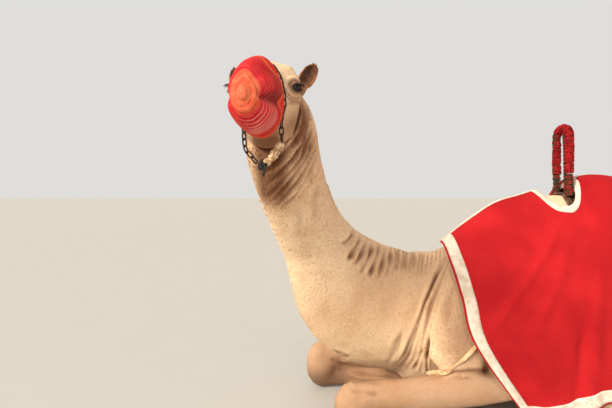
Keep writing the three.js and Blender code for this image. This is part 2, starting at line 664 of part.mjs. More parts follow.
// The strap that runs from the front corner of the cloth down to the girth, flat on the shoulder.
function strap(side, ...skins) {
  const skin = union(...skins);
  const stations = [0, 0.25, 0.5, 0.75, 1].map((t) => {
    const y = lerp(strapFrom[0], strapTo[0], t);
    const z = lerp(strapFrom[1], strapTo[1], t);
    const at = touch(skin, V(side * 900, y, z), V(0, y, z), 3.2);
    return { at: at.toArray(), wide: 12, high: 2.4, square: 4 };
  });
  return largest(cut(sweep(stations, { rings: 6, around: 6, up: V(side, 0, 0.2) }), skin));
}

// ---- saddle -------------------------------------------------------------------------------------------------------

// The band over the hump that the handle stands on.
const archThickness = 12;
function saddleArch() {
  const band = cut(hump(gap + archThickness), hump(gap));
  return largest(band.intersect(block([-far, handleAt - 30, 985], [far, handleAt + 34, far])));
}

function seatPad() {
  const stations = [
    { y: 806, wide: 166, top: seatTop - 9 },
    { y: 850, wide: 186, top: seatTop - 1 },
    { y: 950, wide: 190, top: seatTop },
    { y: 1030, wide: 176, top: seatTop - 26 },
    { y: 1074, wide: 136, top: seatTop - 84 },
  ].map(({ y, wide, top }) => ({ at: [0, y, 1060], wide, high: top - 1060, low: 190, square: 2.8, taper: [0, 0.1] }));
  const pad = sweep(stations, { rings: 5, around: 14, round: [14, 16] });
  return largest(cut(pad, hump(gap), trunk(gap)));
}

const legFoot = 1150;
const gripStart = 1290;
const arc = handleHalfWidth;

function handleGrip(grow = 0) {
  const crown = handleTop - 24 - arc;
  const rise = [gripStart, lerp(gripStart, crown, 0.5)];
  const bend = steps(0, Math.PI, 8).map((a) => [-arc * Math.cos(a), crown + arc * Math.sin(a)]);
  const centres = [
    ...rise.map((z) => [-arc, z]),
    ...bend,
    ...[...rise].reverse().map((z) => [arc, z]),
  ];
  const stations = centres.map(([x, z]) => ({ at: [x, handleAt, z], wide: 24, high: 24 }));
  return sweep(stations, { rings: 12, around: 8, up: V(0, 1, 0), grow });
}

function handleLeg(side) {
  const stations = [gripStart - 2 * gap, 1240, 1190, legFoot].map((z, i) => ({
    at: [side * (arc + Math.max(i - 1, 0) * 3), handleAt, z],
    wide: i === 2 ? 21 : 19,
    high: i === 2 ? 21 : 19,
  }));
  const leg = sweep(stations, { rings: 4, around: 8, up: V(0, 1, 0) });
  return largest(cut(leg, hump(gap), hump(gap * 2 + archThickness).intersect(between(handleAt - 31, handleAt + 35))));
}

// The twisted yarn that ties the crown of the handle down to the band, beside its left leg.
function handleTie() {
  const under = handleTop - 48;
  const stations = [under + 9, 1440, 1330, 1240, legFoot].map((z, i) => ({
    at: [[6, 12, 16, 17, 17][i], handleAt, z],
    wide: [7, 8, 9, 10, 9][i],
    high: [7, 9, 11, 12, 10][i],
  }));
  const tie = sweep(stations, { rings: 7, around: 8, up: V(0, 1, 0) });
  const band = hump(gap * 2 + archThickness).intersect(between(handleAt - 31, handleAt + 35));
  return largest(cut(tie, handleGrip(gap), hump(gap), band));
}

// ---- assembly -----------------------------------------------------------------------------------------------------

const camel = new THREE.Group();

const finish = (color, roughness, metalness = 0) => new THREE.MeshStandardMaterial({ color, roughness, metalness });
const finishes = {
  hide: [0xd9b78d, 0.85],
  eye: [0x1a110b, 0.08],
  hair: [0x6b4a30, 0.9],
  cover: [0xe0452e, 0.95],
  chain: [0x3a3029, 0.55, 0.8],
  halterCord: [0xdcc19a, 0.9],
  knot: [0x1d1a18, 0.85],
  cloth: [0xe4222c, 0.8],
  tape: [0xe9e4da, 0.85],
  pad: [0xb8242a, 0.9],
  frame: [0x4a4038, 0.6, 0.4],
  yarn: [0xd0262c, 0.95],
  wrap: [0x3c3a2c, 0.95],
};

function add(name, made, kind) {
  const mesh = new THREE.Mesh(geometryOf(made), finish(...finishes[kind]));
  mesh.name = name;
  camel.add(mesh);
}

const headMade = headSolid();
const headGrown = placed(headForm(gap));
const neckTopGrown = neckLength(0.6, 1, 9, gap, [0, 20]);
add('head', placed(headMade), 'hide');
for (const [name, side] of sides) {
  add(`eye_${name}`, placed(eyeball(side)), 'eye');
  add(`ear_${name}`, largest(cut(placed(ear(name, side)), headGrown, neckTopGrown)), 'hide');
}

const trunkMade = trunk().intersect(aboveFloor);
const trunkGrown = trunk(gap);
const trunkSplit = 560;
add('trunk_front', trunkMade.intersect(between(-far, trunkSplit)), 'hide');
add('trunk_rear', trunkMade.intersect(between(trunkSplit + gap, far)), 'hide');
add('hump', largest(cut(hump(), trunkGrown)), 'hide');
const neckGrown = neckLength(0, 0.4, 7, gap);
const legTools = [];
for (const [name, side] of sides) {
  const lead = side > 0 ? 0 : rightKneeLead;
  const fore = foreleg(side, lead, kneeHeights[name]);
  const foreGrown = foreleg(side, lead, kneeHeights[name], gap);
  const whole = (made, ...tools) => largest(cut(made, ...tools, trunkGrown).intersect(aboveFloor));
  add(`shoulder_${name}`, whole(fore.shoulder), 'hide');
  add(`forearm_${name}`, whole(fore.forearm, foreGrown.shoulder), 'hide');
  add(`forefoot_${name}`, whole(fore.forefoot, foreGrown.forearm, foreGrown.shoulder), 'hide');
  legTools.push(foreGrown.shoulder, foreGrown.forearm, foreGrown.forefoot);
  const hind = hindleg(side);
  const hindGrown = hindleg(side, gap);
  add(`thigh_${name}`, whole(hind.thigh, hump(gap)), 'hide');
  add(`shank_${name}`, whole(hind.shank, hindGrown.thigh), 'hide');
  add(`strap_${name}`, strap(side, foreGrown.shoulder, foreGrown.forearm, neckGrown, trunkGrown), 'halterCord');
  add(`hindfoot_${name}`, whole(hind.hindfoot, hindGrown.shank, hindGrown.thigh), 'hide');
}
add('neck_base', largest(cut(neckLength(0, 0.4, 7), trunkGrown, ...legTools)), 'hide');
add('neck_middle', largest(neckLength(0.4005, 0.62, 4)), 'hide');
add('neck_upper', largest(cut(neckLength(0.6205, 1, 8, 0, [0, 20]), headGrown)), 'hide');
add('tail', largest(cut(tail(), trunkGrown)), 'hide');
add('tail_tuft', largest(cut(tailTuft(), tail(gap))), 'hair');

add('muzzle_cover', placed(muzzleCover()), 'cover');
add('noseband_chain', placed(largest(cut(chain(nosebandPath()), headForm(gap)))), 'chain');
const halterCord = sweep(haltercordStations, { rings: 7, around: 8 });
add('halter_cord', placed(halterCord), 'halterCord');
add('halter_knot', placed(ball(knotAt.toArray(), [16, 15, 24], { detail: [8, 6] })), 'knot');

add('cloth', cloth(), 'cloth');
add('tape_border', borderTape(), 'tape');
add('tape_opening', openingBinding(), 'tape');
add('tape_ridge_front', ridgeTape(-far, openingMiddle[1]), 'tape');
add('tape_ridge_rear', ridgeTape(openingMiddle[1], far), 'tape');
add('saddle_arch', saddleArch(), 'frame');
add('seat_pad', seatPad(), 'pad');
add('handle_grip', handleGrip(), 'yarn');
for (const [name, side] of sides) add(`handle_leg_${name}`, handleLeg(side), 'wrap');
add('handle_tie', handleTie(), 'wrap');

// The group is moved so that the middle of its underside is the origin.
const bounds = new THREE.Box3().setFromObject(camel);
const middle = bounds.getCenter(new THREE.Vector3());
camel.position.set(-middle.x, -middle.y, -bounds.min.z);
camel.updateMatrixWorld(true);

export default camel;
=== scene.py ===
import math
import random

import bmesh
import bpy
import numpy as np
from mathutils import Matrix, Vector
from mathutils.bvhtree import BVHTree


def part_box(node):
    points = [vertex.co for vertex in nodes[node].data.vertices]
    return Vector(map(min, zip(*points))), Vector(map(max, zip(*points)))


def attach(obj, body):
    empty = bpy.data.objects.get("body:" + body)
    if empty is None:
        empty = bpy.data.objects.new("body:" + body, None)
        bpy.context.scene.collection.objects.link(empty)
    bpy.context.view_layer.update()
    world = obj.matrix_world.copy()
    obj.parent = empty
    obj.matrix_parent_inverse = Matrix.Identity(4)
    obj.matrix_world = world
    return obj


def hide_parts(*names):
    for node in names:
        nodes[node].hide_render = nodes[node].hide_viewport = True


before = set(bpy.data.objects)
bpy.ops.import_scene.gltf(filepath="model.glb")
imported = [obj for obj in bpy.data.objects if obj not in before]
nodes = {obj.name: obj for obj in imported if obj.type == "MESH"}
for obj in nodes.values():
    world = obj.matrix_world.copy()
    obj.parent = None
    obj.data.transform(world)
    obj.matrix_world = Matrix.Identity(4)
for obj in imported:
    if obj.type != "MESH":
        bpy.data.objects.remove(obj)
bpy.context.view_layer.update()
scene = bpy.context.scene
gripLow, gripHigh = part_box("handle_grip")
gripAt = 0.722  # how far the handle stands behind the withers
# the place below the withers
shift = np.array([(gripLow.x + gripHigh.x) / 2, (gripLow.y + gripHigh.y) / 2 - gripAt, 0.0])
both = (("left", 1), ("right", -1))


# camera, first: a level lens that looks along the camel's left side towards its head

print("camera")
view = {
    "from": Vector(shift) + Vector((2.23194, -0.910855, 1.158)),
    "towards": Vector((-0.99756, 0.06976, 0.0)),
    "lens": 24.0,
    "sensor": 36.0,
    "width": 612,
    "height": 408,
    "horizon": 197,  # the row of pixels at eye level
}
cameraData = bpy.data.cameras.new("camera")
cameraData.lens = view["lens"]
cameraData.sensor_width = view["sensor"]
cameraData.clip_start = 0.02
cameraData.shift_y = (view["horizon"] - view["height"] / 2) / view["width"]
camera = bpy.data.objects.new("camera", cameraData)
camera.location = view["from"]
camera.rotation_euler = view["towards"].to_track_quat("-Z", "Y").to_euler()
scene.collection.objects.link(camera)
scene.camera = camera

focal = view["lens"] / view["sensor"] * view["width"]
sight = np.array(view["towards"])
across = np.array([sight[1], -sight[0], 0.0])  # to the right in the view


def toPixels(points):  # where points fall in the view, in pixels, and how far off they are
    away = points - np.array(view["from"])
    depth = away @ sight
    column = view["width"] / 2 + focal * (away @ across) / depth
    row = view["horizon"] - focal * away[:, 2] / depth
    return np.stack([column, row], 1), depth


# ways to shape a mesh

def newPiece(name, mesh):
    piece = bpy.data.objects.new(name, mesh)
    scene.collection.objects.link(piece)
    return piece


def meshFrom(shape, name):  # a bmesh made into a mesh
    mesh = bpy.data.meshes.new(name)
    shape.to_mesh(mesh)
    shape.free()
    return mesh


def nodeCopy(*names):  # the merged meshes of some nodes as one bmesh
    shape = bmesh.new()
    for name in names:
        shape.from_mesh(nodes[name].data)
    bmesh.ops.remove_doubles(shape, verts=shape.verts, dist=1e-5)
    return shape


def applied(piece):  # applies what modifiers a piece has
    graph = bpy.context.evaluated_depsgraph_get()
    graph.update()
    mesh = bpy.data.meshes.new_from_object(piece.evaluated_get(graph))
    piece.modifiers.clear()
    old = piece.data
    piece.data = mesh
    bpy.data.meshes.remove(old)
    return piece


def modify(piece, kind, **settings):
    modifier = piece.modifiers.new(kind.lower(), kind)
    for key, value in settings.items():
        setattr(modifier, key, value)
    return applied(piece)


def readAll(items, key, width, kind=np.float32):  # one row for each item
    values = np.empty(len(items) * width, kind)
    items.foreach_get(key, values)
    return values.reshape(-1, width)


def pointsOf(mesh):
    return readAll(mesh.vertices, "co", 3).astype(float)


def normalsOf(mesh):
    return readAll(mesh.vertex_normals, "vector", 3).astype(float)


def neighbours(mesh):  # both ends of every edge, each way round, and each point's share of its edges' sum
    ends = readAll(mesh.edges, "vertices", 2, np.int32)
    heads, tails = np.r_[ends[:, 0], ends[:, 1]], np.r_[ends[:, 1], ends[:, 0]]
    return heads, tails, 1.0 / np.maximum(np.bincount(heads, minlength=len(mesh.vertices)), 1)


def unit(vectors, least=0.0):  # rows of length one
    return vectors / np.maximum(np.linalg.norm(vectors, axis=1), least)[:, None]


def runAlong(line):  # how far along a line each of its points lies
    return np.r_[0, np.cumsum(np.linalg.norm(np.diff(line, axis=0), axis=1))]


def setPoints(mesh, points):
    mesh.vertices.foreach_set("co", points.astype(np.float32).ravel())
    mesh.update()


def relax(mesh, rounds, amount):  # draws each point towards its neighbours, by an amount that may vary
    points, count = pointsOf(mesh), len(mesh.vertices)
    heads, tails, share = neighbours(mesh)
    amount = np.broadcast_to(np.asarray(amount, float), count)[:, None]
    for _ in range(rounds):
        mean = np.stack([np.bincount(heads, points[tails, k], count) for k in range(3)], 1) * share[:, None]
        points += (mean - points) * amount
    setPoints(mesh, points)


def smoothly(low, high, values):  # from 0 below low to 1 above high
    t = np.clip((values - low) / (high - low), 0, 1)
    return t * t * (3 - 2 * t)


def bell(values, centre, width):  # 1 at the centre, fading away over the width
    return np.exp(-(((values - centre) / width) ** 2))


def span(values, a, b, c, d):  # up from a to b and down again from c to d
    return smoothly(a, b, values) * (1 - smoothly(c, d, values))


def storeValue(mesh, name, values):
    attribute = mesh.attributes.get(name) or mesh.attributes.new(name, "FLOAT", "POINT")
    attribute.data.foreach_set("value", values.astype(np.float32))


def valueOf(mesh, name):
    return readAll(mesh.attributes[name].data, "value", 1)[:, 0].astype(float)


def shadeSmooth(mesh):
    mesh.polygons.foreach_set("use_smooth", np.ones(len(mesh.polygons), bool))


def camelFrame(points):  # from the frame to the camel's own directions, zero below its withers
    return points - shift


headTurn = Matrix.Rotation(math.radians(-6), 3, "Z") @ Matrix.Rotation(math.radians(7), 3, "Y")
headTurnRows = np.array(headTurn)
headAt = np.array([0.906, -0.952, 1.512]) + shift


def toHead(points):  # into the head's own frame: nose, left, up, with zero between the eyes
    return (points - headAt) @ headTurnRows


def fromHead(points):
    return np.asarray(points, float) @ headTurnRows.T + headAt


def finished(piece, slot, *replaced):
    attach(piece, "root")
    if replaced:
        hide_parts(*replaced)
    return piece


# ways to mix a material

class Wire:  # a socket that can be reckoned with
    def __init__(self, finish, socket):
        self.finish, self.socket = finish, socket

    def math(self, operation, *others):
        values = dict(enumerate((self, *others)))
        return self.finish.node("ShaderNodeMath", {"operation": operation}, values)

    def __add__(self, other):
        return self.math("ADD", other)

    def __mul__(self, other):
        return self.math("MULTIPLY", other)

    def __rsub__(self, other):
        return self * -1.0 + other

    __radd__ = __add__
    __rmul__ = __mul__


def tint(code):  # a colour written in six digits, as light
    parts = [int(code[i:i + 2], 16) / 255 for i in (0, 2, 4)]
    return (*[c / 12.92 if c <= 0.04045 else ((c + 0.055) / 1.055) ** 2.4 for c in parts], 1.0)


class Finish:  # a material and the nodes behind its shader
    def __init__(self, name, **constants):
        self.material = bpy.data.materials.new(name)
        self.material.use_nodes = True
        self.tree = self.material.node_tree
        self.shader = self.tree.nodes["Principled BSDF"]
        for key, value in constants.items():
            self.shader.inputs[key.replace("_", " ")].default_value = value

    def node(self, kind, settings=None, inputs=None, output=0):
        made = self.tree.nodes.new(kind)
        for key, value in (settings or {}).items():
            if key == "stops":
                ramp = made.color_ramp.elements
                while len(ramp) < len(value):
                    ramp.new(0.5)
                for stop, (position, colour) in zip(ramp, value):
                    stop.position, stop.color = position, colour
            else:
                setattr(made, key, value)
        for key, value in (inputs or {}).items():
            if isinstance(value, Wire):
                self.tree.links.new(value.socket, made.inputs[key])
            else:
                made.inputs[key].default_value = value
        return Wire(self, made.outputs[output])

    def place(self, scale=(1, 1, 1)):
        here = self.node("ShaderNodeTexCoord", output=3)
        return self.node("ShaderNodeMapping", {}, {0: here, 3: scale})

    def noise(self, scale, detail=3.0, vector=None, rough=0.5):
        inputs = {"Scale": scale, "Detail": detail, "Roughness": rough}
        inputs["Vector"] = vector or self.place()
        return self.node("ShaderNodeTexNoise", {}, inputs)

    def attribute(self, name, output=2):
        return self.node("ShaderNodeAttribute", {"attribute_name": name}, output=output)

    def between(self, value, low, high, first=0.0, last=1.0):
        settings = {"interpolation_type": "SMOOTHSTEP"}
        return self.node("ShaderNodeMapRange", settings, {0: value, 1: low, 2: high, 3: first, 4: last})

    def mix(self, factor, first, second, blend="MIX"):
        settings = {"data_type": "RGBA", "blend_type": blend}
        return self.node("ShaderNodeMix", settings, {0: factor, 6: first, 7: second}, output=2)

    def dapple(self, scale, detail, low, high, first, last):  # two tints that a noise mixes
        return self.mix(self.between(self.noise(scale, detail), low, high), tint(first), tint(last))

    def bump(self, height, distance, strength=1.0):
        inputs = {"Height": height, "Distance": distance, "Strength": strength}
        return self.node("ShaderNodeBump", {}, inputs)

    def feed(self, name, value):
        if isinstance(value, Wire):
            self.tree.links.new(value.socket, self.shader.inputs[name])
        else:
            self.shader.inputs[name].default_value = value

    def put(self, *pieces):
        for piece in pieces:
            piece.data.materials.clear()
            piece.data.materials.append(self.material)


# the hide: one skin over every flesh node

print("skin")
sidedParts = ("shoulder", "forearm", "forefoot", "thigh", "shank", "hindfoot")
flesh = {
    "body": ["trunk_front", "trunk_rear", "hump", "neck_base", "neck_middle", "neck_upper", "tail"]
    + [f"{part}_{side}" for part in sidedParts for side, _ in both],
    "head": ["head", "ear_left", "ear_right"],
    "bodyVoxel": 0.014,
    "headVoxel": 0.003,
    "coatDepth": 0.002,  # how far the skin lies inside the nodes
    "bodyTriangles": 134000,
    "headTriangles": 60000,
    # parts of the view, in pixels, where the skin keeps its finest mesh
    "foldParts": [(256, 94, 324, 216), (384, 244, 458, 382), (336, 226, 430, 284)],
    "foldDepth": 1.25,  # times the depths below
    "pads": [  # the bare places it rests on, and how large they are
        ((0.252, -0.575, 0.06), 0.11), ((0.252, -0.675, 0.06), 0.11), ((0.0, 0.12, 0.0), 0.15),
        ((0.262, 0.17, 0.14), 0.06), ((0.306, 0.66, 0.1), 0.09), ((0.281, 1.25, 0.05), 0.07),
    ],
    "kneeFill": ((0.262, -0.550, 0.122), 0.040),
}

neckLine = np.array([  # the middle of the neck, from the chest to the head
    (0, 60, 520), (0, -80, 530), (14, -245, 520), (116, -450, 632), (254, -612, 808), (384, -727, 971),
    (540, -826, 1146), (655, -878, 1295), (728, -902, 1400), (772, -917, 1482), (806, -926, 1545),
]) / 1000

skinFolds = [  # a line in the view in pixels, its half width there, its depth in metres and how dark its painted shade is
    ([(303, 98), (305, 116), (301, 134), (289, 150), (274, 165), (263, 175)], 2.0, 0.0100, 1.0),
    ([(308, 106), (309, 126), (303, 145), (291, 161), (277, 176), (265, 187)], 1.8, 0.0090, 1.0),
    ([(312, 122), (310, 140), (302, 157), (290, 173), (277, 188), (267, 198)], 1.7, 0.0080, 0.95),
    ([(314, 136), (309, 154), (299, 170), (287, 186), (274, 201)], 1.7, 0.0070, 0.85),
    ([(315, 150), (308, 167), (298, 182), (285, 197), (275, 209)], 1.7, 0.0060, 0.7),
    ([(303, 126), (297, 142), (285, 156), (271, 169)], 1.2, 0.0045, 0.8),
    ([(314, 166), (306, 181), (296, 195), (286, 206)], 1.6, 0.0050, 0.55),
    ([(317, 150), (313, 170), (306, 186)], 1.8, 0.0030, 0.35),
    ([(320, 185), (315, 205), (317, 225)], 3.0, 0.0035, 0.25),
    ([(306, 196), (300, 215), (300, 240)], 4.0, 0.0035, 0.15),
    ([(356, 231), (349, 240), (343, 246)], 1.8, 0.0070, 0.8),
    ([(362, 236), (355, 250), (348, 262)], 1.8, 0.0070, 0.9),
    ([(368, 240), (362, 254), (354, 268)], 1.8, 0.0065, 0.8),
    ([(374, 243), (369, 258), (361, 275)], 1.8, 0.0065, 0.8),
    ([(380, 245), (376, 261), (369, 279)], 1.8, 0.0060, 0.8),
    ([(386, 247), (383, 263), (378, 281)], 1.8, 0.0055, 0.7),
    ([(392, 248), (390, 263), (387, 277)], 1.8, 0.0050, 0.6),
    ([(399, 249), (398, 262), (396, 272)], 1.8, 0.0040, 0.5),
    ([(407, 250), (406, 262), (405, 270)], 1.8, 0.0035, 0.4),
    ([(415, 250), (415, 261), (414, 268)], 1.8, 0.0030, 0.4),
    ([(424, 249), (424, 259), (423, 266)], 1.8, 0.0025, 0.3),
    ([(449, 252), (436, 276), (425, 303), (417, 331), (409, 355), (399, 370)], 1.5, 0.0065, 1.0),
    ([(445, 256), (434, 279), (424, 303), (415, 330), (405, 354), (395, 368)], 1.3, 0.0040, 0.6),
    ([(453, 254), (441, 280), (431, 306), (424, 334), (419, 362)], 1.4, 0.0045, 0.6),
    ([(430, 332), (427, 350), (427, 366), (428, 376)], 1.2, 0.0080, 1.0),
    ([(424, 346), (419, 360), (413, 372)], 1.3, 0.0040, 0.6),
    ([(456, 282), (449, 306), (446, 330)], 3.0, 0.0030, 0.25),
    ([(404, 330), (396, 350), (386, 366)], 2.5, 0.0035, 0.3),
    ([(352, 372), (376, 376), (400, 377)], 2.0, 0.0040, 0.5),
    ([(431, 377), (450, 373), (478, 372), (500, 374)], 2.4, 0.0060, 0.6),
    ([(333, 350), (342, 356), (352, 358)], 1.8, 0.0050, 0.6),
    ([(330, 358), (341, 364), (354, 366)], 1.8, 0.0050, 0.6),
    ([(345, 376), (362, 381), (384, 383)], 2.0, 0.0030, 0.3),
    ([(350, 392), (366, 392), (380, 396)], 2.0, 0.0030, 0.4),
]


def nearLine(pixels, line):  # how far pixels are from a line, and how far along it they lie
    line = np.asarray(line, float)
    best, share, total = np.full(len(pixels), 1e9), np.zeros(len(pixels)), len(line) - 1
    for i, (a, b) in enumerate(zip(line, line[1:])):
        along = np.clip((pixels - a) @ (b - a) / ((b - a) @ (b - a)), 0, 1)
        far = np.linalg.norm(pixels - a - along[:, None] * (b - a), axis=1)
        closer = far < best
        best, share = np.where(closer, far, best), np.where(closer, (i + along) / total, share)
    return best, share


def alongNeck(points):  # for each point: how far along the neck, the neck's way, how far off, the middle there
    steps = catmull(neckLine, np.linspace(0, 1, 160))
    ways, run = unit(np.gradient(steps, axis=0)), runAlong(steps)
    nearest, far = np.empty(len(points), int), np.empty(len(points))
    for start in range(0, len(points), 20000):
        part = points[start:start + 20000]
        gaps = ((part[:, None] - steps[None]) ** 2).sum(2)
        nearest[start:start + 20000] = gaps.argmin(1)
        far[start:start + 20000] = np.sqrt(gaps.min(1))
    return run[nearest], ways[nearest], far, steps[nearest]


def pressFolds(mesh):  # the folds of the neck, the shoulder and the knees, and the painted shade in their grooves
    points, normals = pointsOf(mesh), normalsOf(mesh)
    local = camelFrame(points)
    depth, shade = np.zeros(len(points)), np.zeros(len(points))
    toCamera = unit(np.array(view["from"]) - points)
    pixels, _ = toPixels(points)
    ahead = np.where(local[:, 1] < -0.2, 1.0, 0.0)
    seen = smoothly(-0.02, 0.2, (normals * toCamera).sum(1)) * smoothly(-0.05, 0.1, local[:, 0] + ahead)
    turned = local * (-1, 1, 1) + shift  # the right side folds as the left one does
    otherPixels, _ = toPixels(turned)
    otherNormals = normals * (-1, 1, 1)
    otherSeen = smoothly(0.0, 0.25, (otherNormals * toCamera).sum(1))
    otherSeen = otherSeen * smoothly(-0.30, -0.12, local[:, 1]) * smoothly(0.02, 0.1, -local[:, 0])
    for number, (line, width, deep, dark) in enumerate(skinFolds):
        for at, weight in ((pixels, seen), (otherPixels, otherSeen)):
            far, share = nearLine(at, line)
            far = np.abs(far + 0.45 * width * np.sin(7 * share + 1.7 * number))
            ends = np.clip(5 * share, 0, 1) * np.clip(5 * (1 - share), 0, 1)
            ends = ends * (1 + 0.3 * np.sin(9 * share + 2.3 * number))
            groove = np.exp(-((far / width) ** 2))
            ridge = np.exp(-(((far - 2.1 * width) / (1.1 * width)) ** 2))
            depth += weight * ends * deep * (groove - 0.45 * ridge)
            shade = np.maximum(shade, weight * ends * dark * groove)
    column, row = pixels.T
    pleats = smoothly(384, 396, column) * smoothly(452, 440, column)  # a row of small ones on top of the neck
    pleats = pleats * smoothly(282, 262, row + 0.15 * (column - 400)) * smoothly(243, 250, row) * seen
    ripple = np.sin(2 * np.pi * (column + 1.2 * np.sin(row / 7)) / 4.1) * (
        0.7 + 0.3 * np.sin(column / 5 + row / 9))
    depth += 0.0016 * pleats * ripple
    shade = np.maximum(shade, 0.35 * pleats * smoothly(0.1, 0.9, ripple))
    run, _, far, middle = alongNeck(local)
    side = (local - middle) @ np.array([0, 1, 0])
    throat = smoothly(1.02, 1.22, run) * (1 - smoothly(1.42, 1.5, run)) * (1 - seen) * smoothly(0.3, 0.16, far)
    wave = np.sin(2 * np.pi * (run - 0.25 * side) / 0.034)
    depth += throat * 0.0035 * wave
    shade = np.maximum(shade, throat * 0.6 * smoothly(0.2, 1.0, wave))
    setPoints(mesh, points - normals * (depth * flesh["foldDepth"] + flesh["coatDepth"])[:, None])
    # painted shade in the grooves of the folds, kept for the hide's colour
    storeValue(mesh, "fold", np.clip(shade, 0, 1))


def catmull(points, t):  # a smooth curve through points, at numbers from 0 to 1
    points = np.asarray(points, float)
    points = np.concatenate([2 * points[:1] - points[1:2], points, 2 * points[-1:] - points[-2:-1]])
    along = np.clip(t, 0, 1) * (len(points) - 3)
    first = np.minimum(along.astype(int), len(points) - 4)
    weights = hermite(along - first)
    return sum(w.reshape(-1, *[1] * (points.ndim - 1)) * points[first + i] for i, w in enumerate(weights))


def hermite(f):
    first, second = (-f + 2 * f**2 - f**3) / 2, (2 - 5 * f**2 + 3 * f**3) / 2
    return [first, second, (f + 4 * f**2 - 3 * f**3) / 2, (f**3 - f**2) / 2]


def foldParts(mesh):  # which points lie where the folds are seen
    points = pointsOf(mesh)
    pixels, _ = toPixels(points)
    toCamera = np.array(view["from"]) - points
    seen = ((normalsOf(mesh) * toCamera).sum(1) > 0) & (camelFrame(points)[:, 1] < 0.12)
    inside = [np.all((pixels > part[:2]) & (pixels < part[2:]), axis=1) for part in flesh["foldParts"]]
    return np.any(inside, axis=0) & seen


def bodySkin():
    shape = nodeCopy(*flesh["body"])
    for _, side in both:  # flesh in the bend of each knee, so that no light comes through
        at, size = flesh["kneeFill"]
        place = Matrix.Translation(Vector((at[0] * side, at[1], at[2])) + Vector(shift))
        bmesh.ops.create_icosphere(shape, subdivisions=2, radius=size, matrix=place)
    piece = newPiece("body_form", meshFrom(shape, "body_form"))
    modify(piece, "REMESH", mode="VOXEL", voxel_size=flesh["bodyVoxel"])
    height = camelFrame(pointsOf(piece.data))[:, 2]
    relax(piece.data, 9, 0.16 + 0.4 * smoothly(0.16, 0.42, height))  # feet and knees keep their form
    modify(piece, "SUBSURF", levels=1, render_levels=1)
    pressFolds(piece.data)
    return piece


eyes = {
    "radius": 0.0228,
    "at": (0.006, 0.092, -0.004),
    "outward": 48,  # degrees from the nose
    "rings": [  # folds: their radius, width and depth, and whether above or below
        (0.0235, 0.0028, 0.0030, 1), (0.034, 0.0034, 0.0032, -1), (0.0425, 0.0036, 0.0030, -1),
    ],
}


def eyeFrame(side):  # where an eye is in the head, and its own directions: outwards, left, up
    turn = math.radians(eyes["outward"]) * side
    at = np.array(eyes["at"]) * (1, side, 1)
    rows = np.array([[math.cos(turn), -math.sin(turn), 0], [math.sin(turn), math.cos(turn), 0], [0, 0, 1]])
    return at, rows


ears = {"left": (33, 6), "right": (12, 32)}  # how far each leans out and back, in degrees


def earFrame(name, side):
    out, back = ears[name]
    turn = Matrix.Rotation(math.radians(-back), 3, "Y") @ Matrix.Rotation(math.radians(-side * out), 3, "X")
    return np.array([-0.108, side * 0.104, 0.002]), np.array(turn)


def shapeFace(mesh):  # lids, folds round the eyes, cheeks and lips, with painted shade in their grooves
    points, normals = pointsOf(mesh), normalsOf(mesh)
    local = toHead(points)
    push = np.zeros(len(points))
    shade = np.zeros(len(points))
    for _, side in both:
        at, rows = eyeFrame(side)
        eye = (local - at) @ rows
        out, y, z = eye.T
        y = y * side
        round_ = np.hypot(y / 1.25, z)
        near = smoothly(-0.02, 0.0, out)
        for radius, width, deep, lower in eyes["rings"]:
            ring = bell(round_, radius, width) * smoothly(-0.004, 0.012, lower * z) * near
            push -= deep * ring
            shade = np.maximum(shade, 0.7 * ring)
        brow = bell(round_, 0.031, 0.006) * smoothly(0.006, 0.02, z) * near
        push += 0.0035 * brow
        x, yy, zz = local[:, 0], local[:, 1] * side, local[:, 2]
        cheek = bell(zz + 0.048 + 0.12 * (x + 0.02), 0, 0.006)
        cheek = cheek * span(x, -0.10, -0.07, 0.02, 0.05) * smoothly(0.05, 0.07, yy)
        push -= 0.0030 * cheek
        shade = np.maximum(shade, 0.55 * cheek)
        for k in range(4):
            line = bell(x - 0.028 + 0.016 * k - 0.25 * (zz + 0.04), 0, 0.0028)
            line = line * span(zz, -0.058, -0.046, -0.034, -0.026) * smoothly(0.05, 0.07, yy)
            push -= 0.0016 * line
            shade = np.maximum(shade, 0.4 * line)
    setPoints(mesh, points + normals * (push - 0.001)[:, None])
    # painted shade in the grooves round the eyes and on the cheeks
    storeValue(mesh, "fold", np.clip(shade, 0, 1))


def headSkin():
    piece = newPiece("head_form", meshFrom(nodeCopy(*flesh["head"]), "head_form"))
    modify(piece, "REMESH", mode="VOXEL", voxel_size=flesh["headVoxel"])
    local = toHead(pointsOf(piece.data))
    firm = np.zeros(len(local))
    for name, side in both:
        at, _ = eyeFrame(side)
        firm = np.maximum(firm, 1 - smoothly(0.024, 0.05, np.linalg.norm(local - at, axis=1)))
        at, rows = earFrame(name, side)
        firm = np.maximum(
            firm, smoothly(0.015, 0.04, ((local - at) @ rows)[:, 2]) * (np.abs(local[:, 1]) > 0.09))
    relax(piece.data, 16, 0.55 * (1 - 0.86 * firm))
    shapeFace(piece.data)
    return piece


def joinSkins(body, head):
    graph = bpy.context.evaluated_depsgraph_get()
    trees = [BVHTree.FromObject(piece, graph) for piece in (body, head)]
    union = body.modifiers.new("join", "BOOLEAN")
    union.operation, union.solver, union.object = "UNION", "MANIFOLD", head
    applied(body)
    points = pointsOf(body.data)
    local = toHead(points)
    close = np.flatnonzero(np.all(np.abs(local - (-0.14, 0, -0.05)) < (0.2, 0.17, 0.2), axis=1))
    seam = np.zeros(len(points))
    for i in close:
        gap = max(tree.find_nearest(Vector(points[i]))[3] for tree in trees)
        seam[i] = math.exp(-((gap / 0.011) ** 2))
    relax(body.data, 36, 0.6 * seam)
    bpy.data.objects.remove(head)
    return body


def thinned(piece, triangles, **settings):  # both skins are made of four-sided faces until here
    modify(piece, "DECIMATE", ratio=min(1, triangles / (2 * len(piece.data.polygons))), **settings)


body = bodySkin()
head = headSkin()

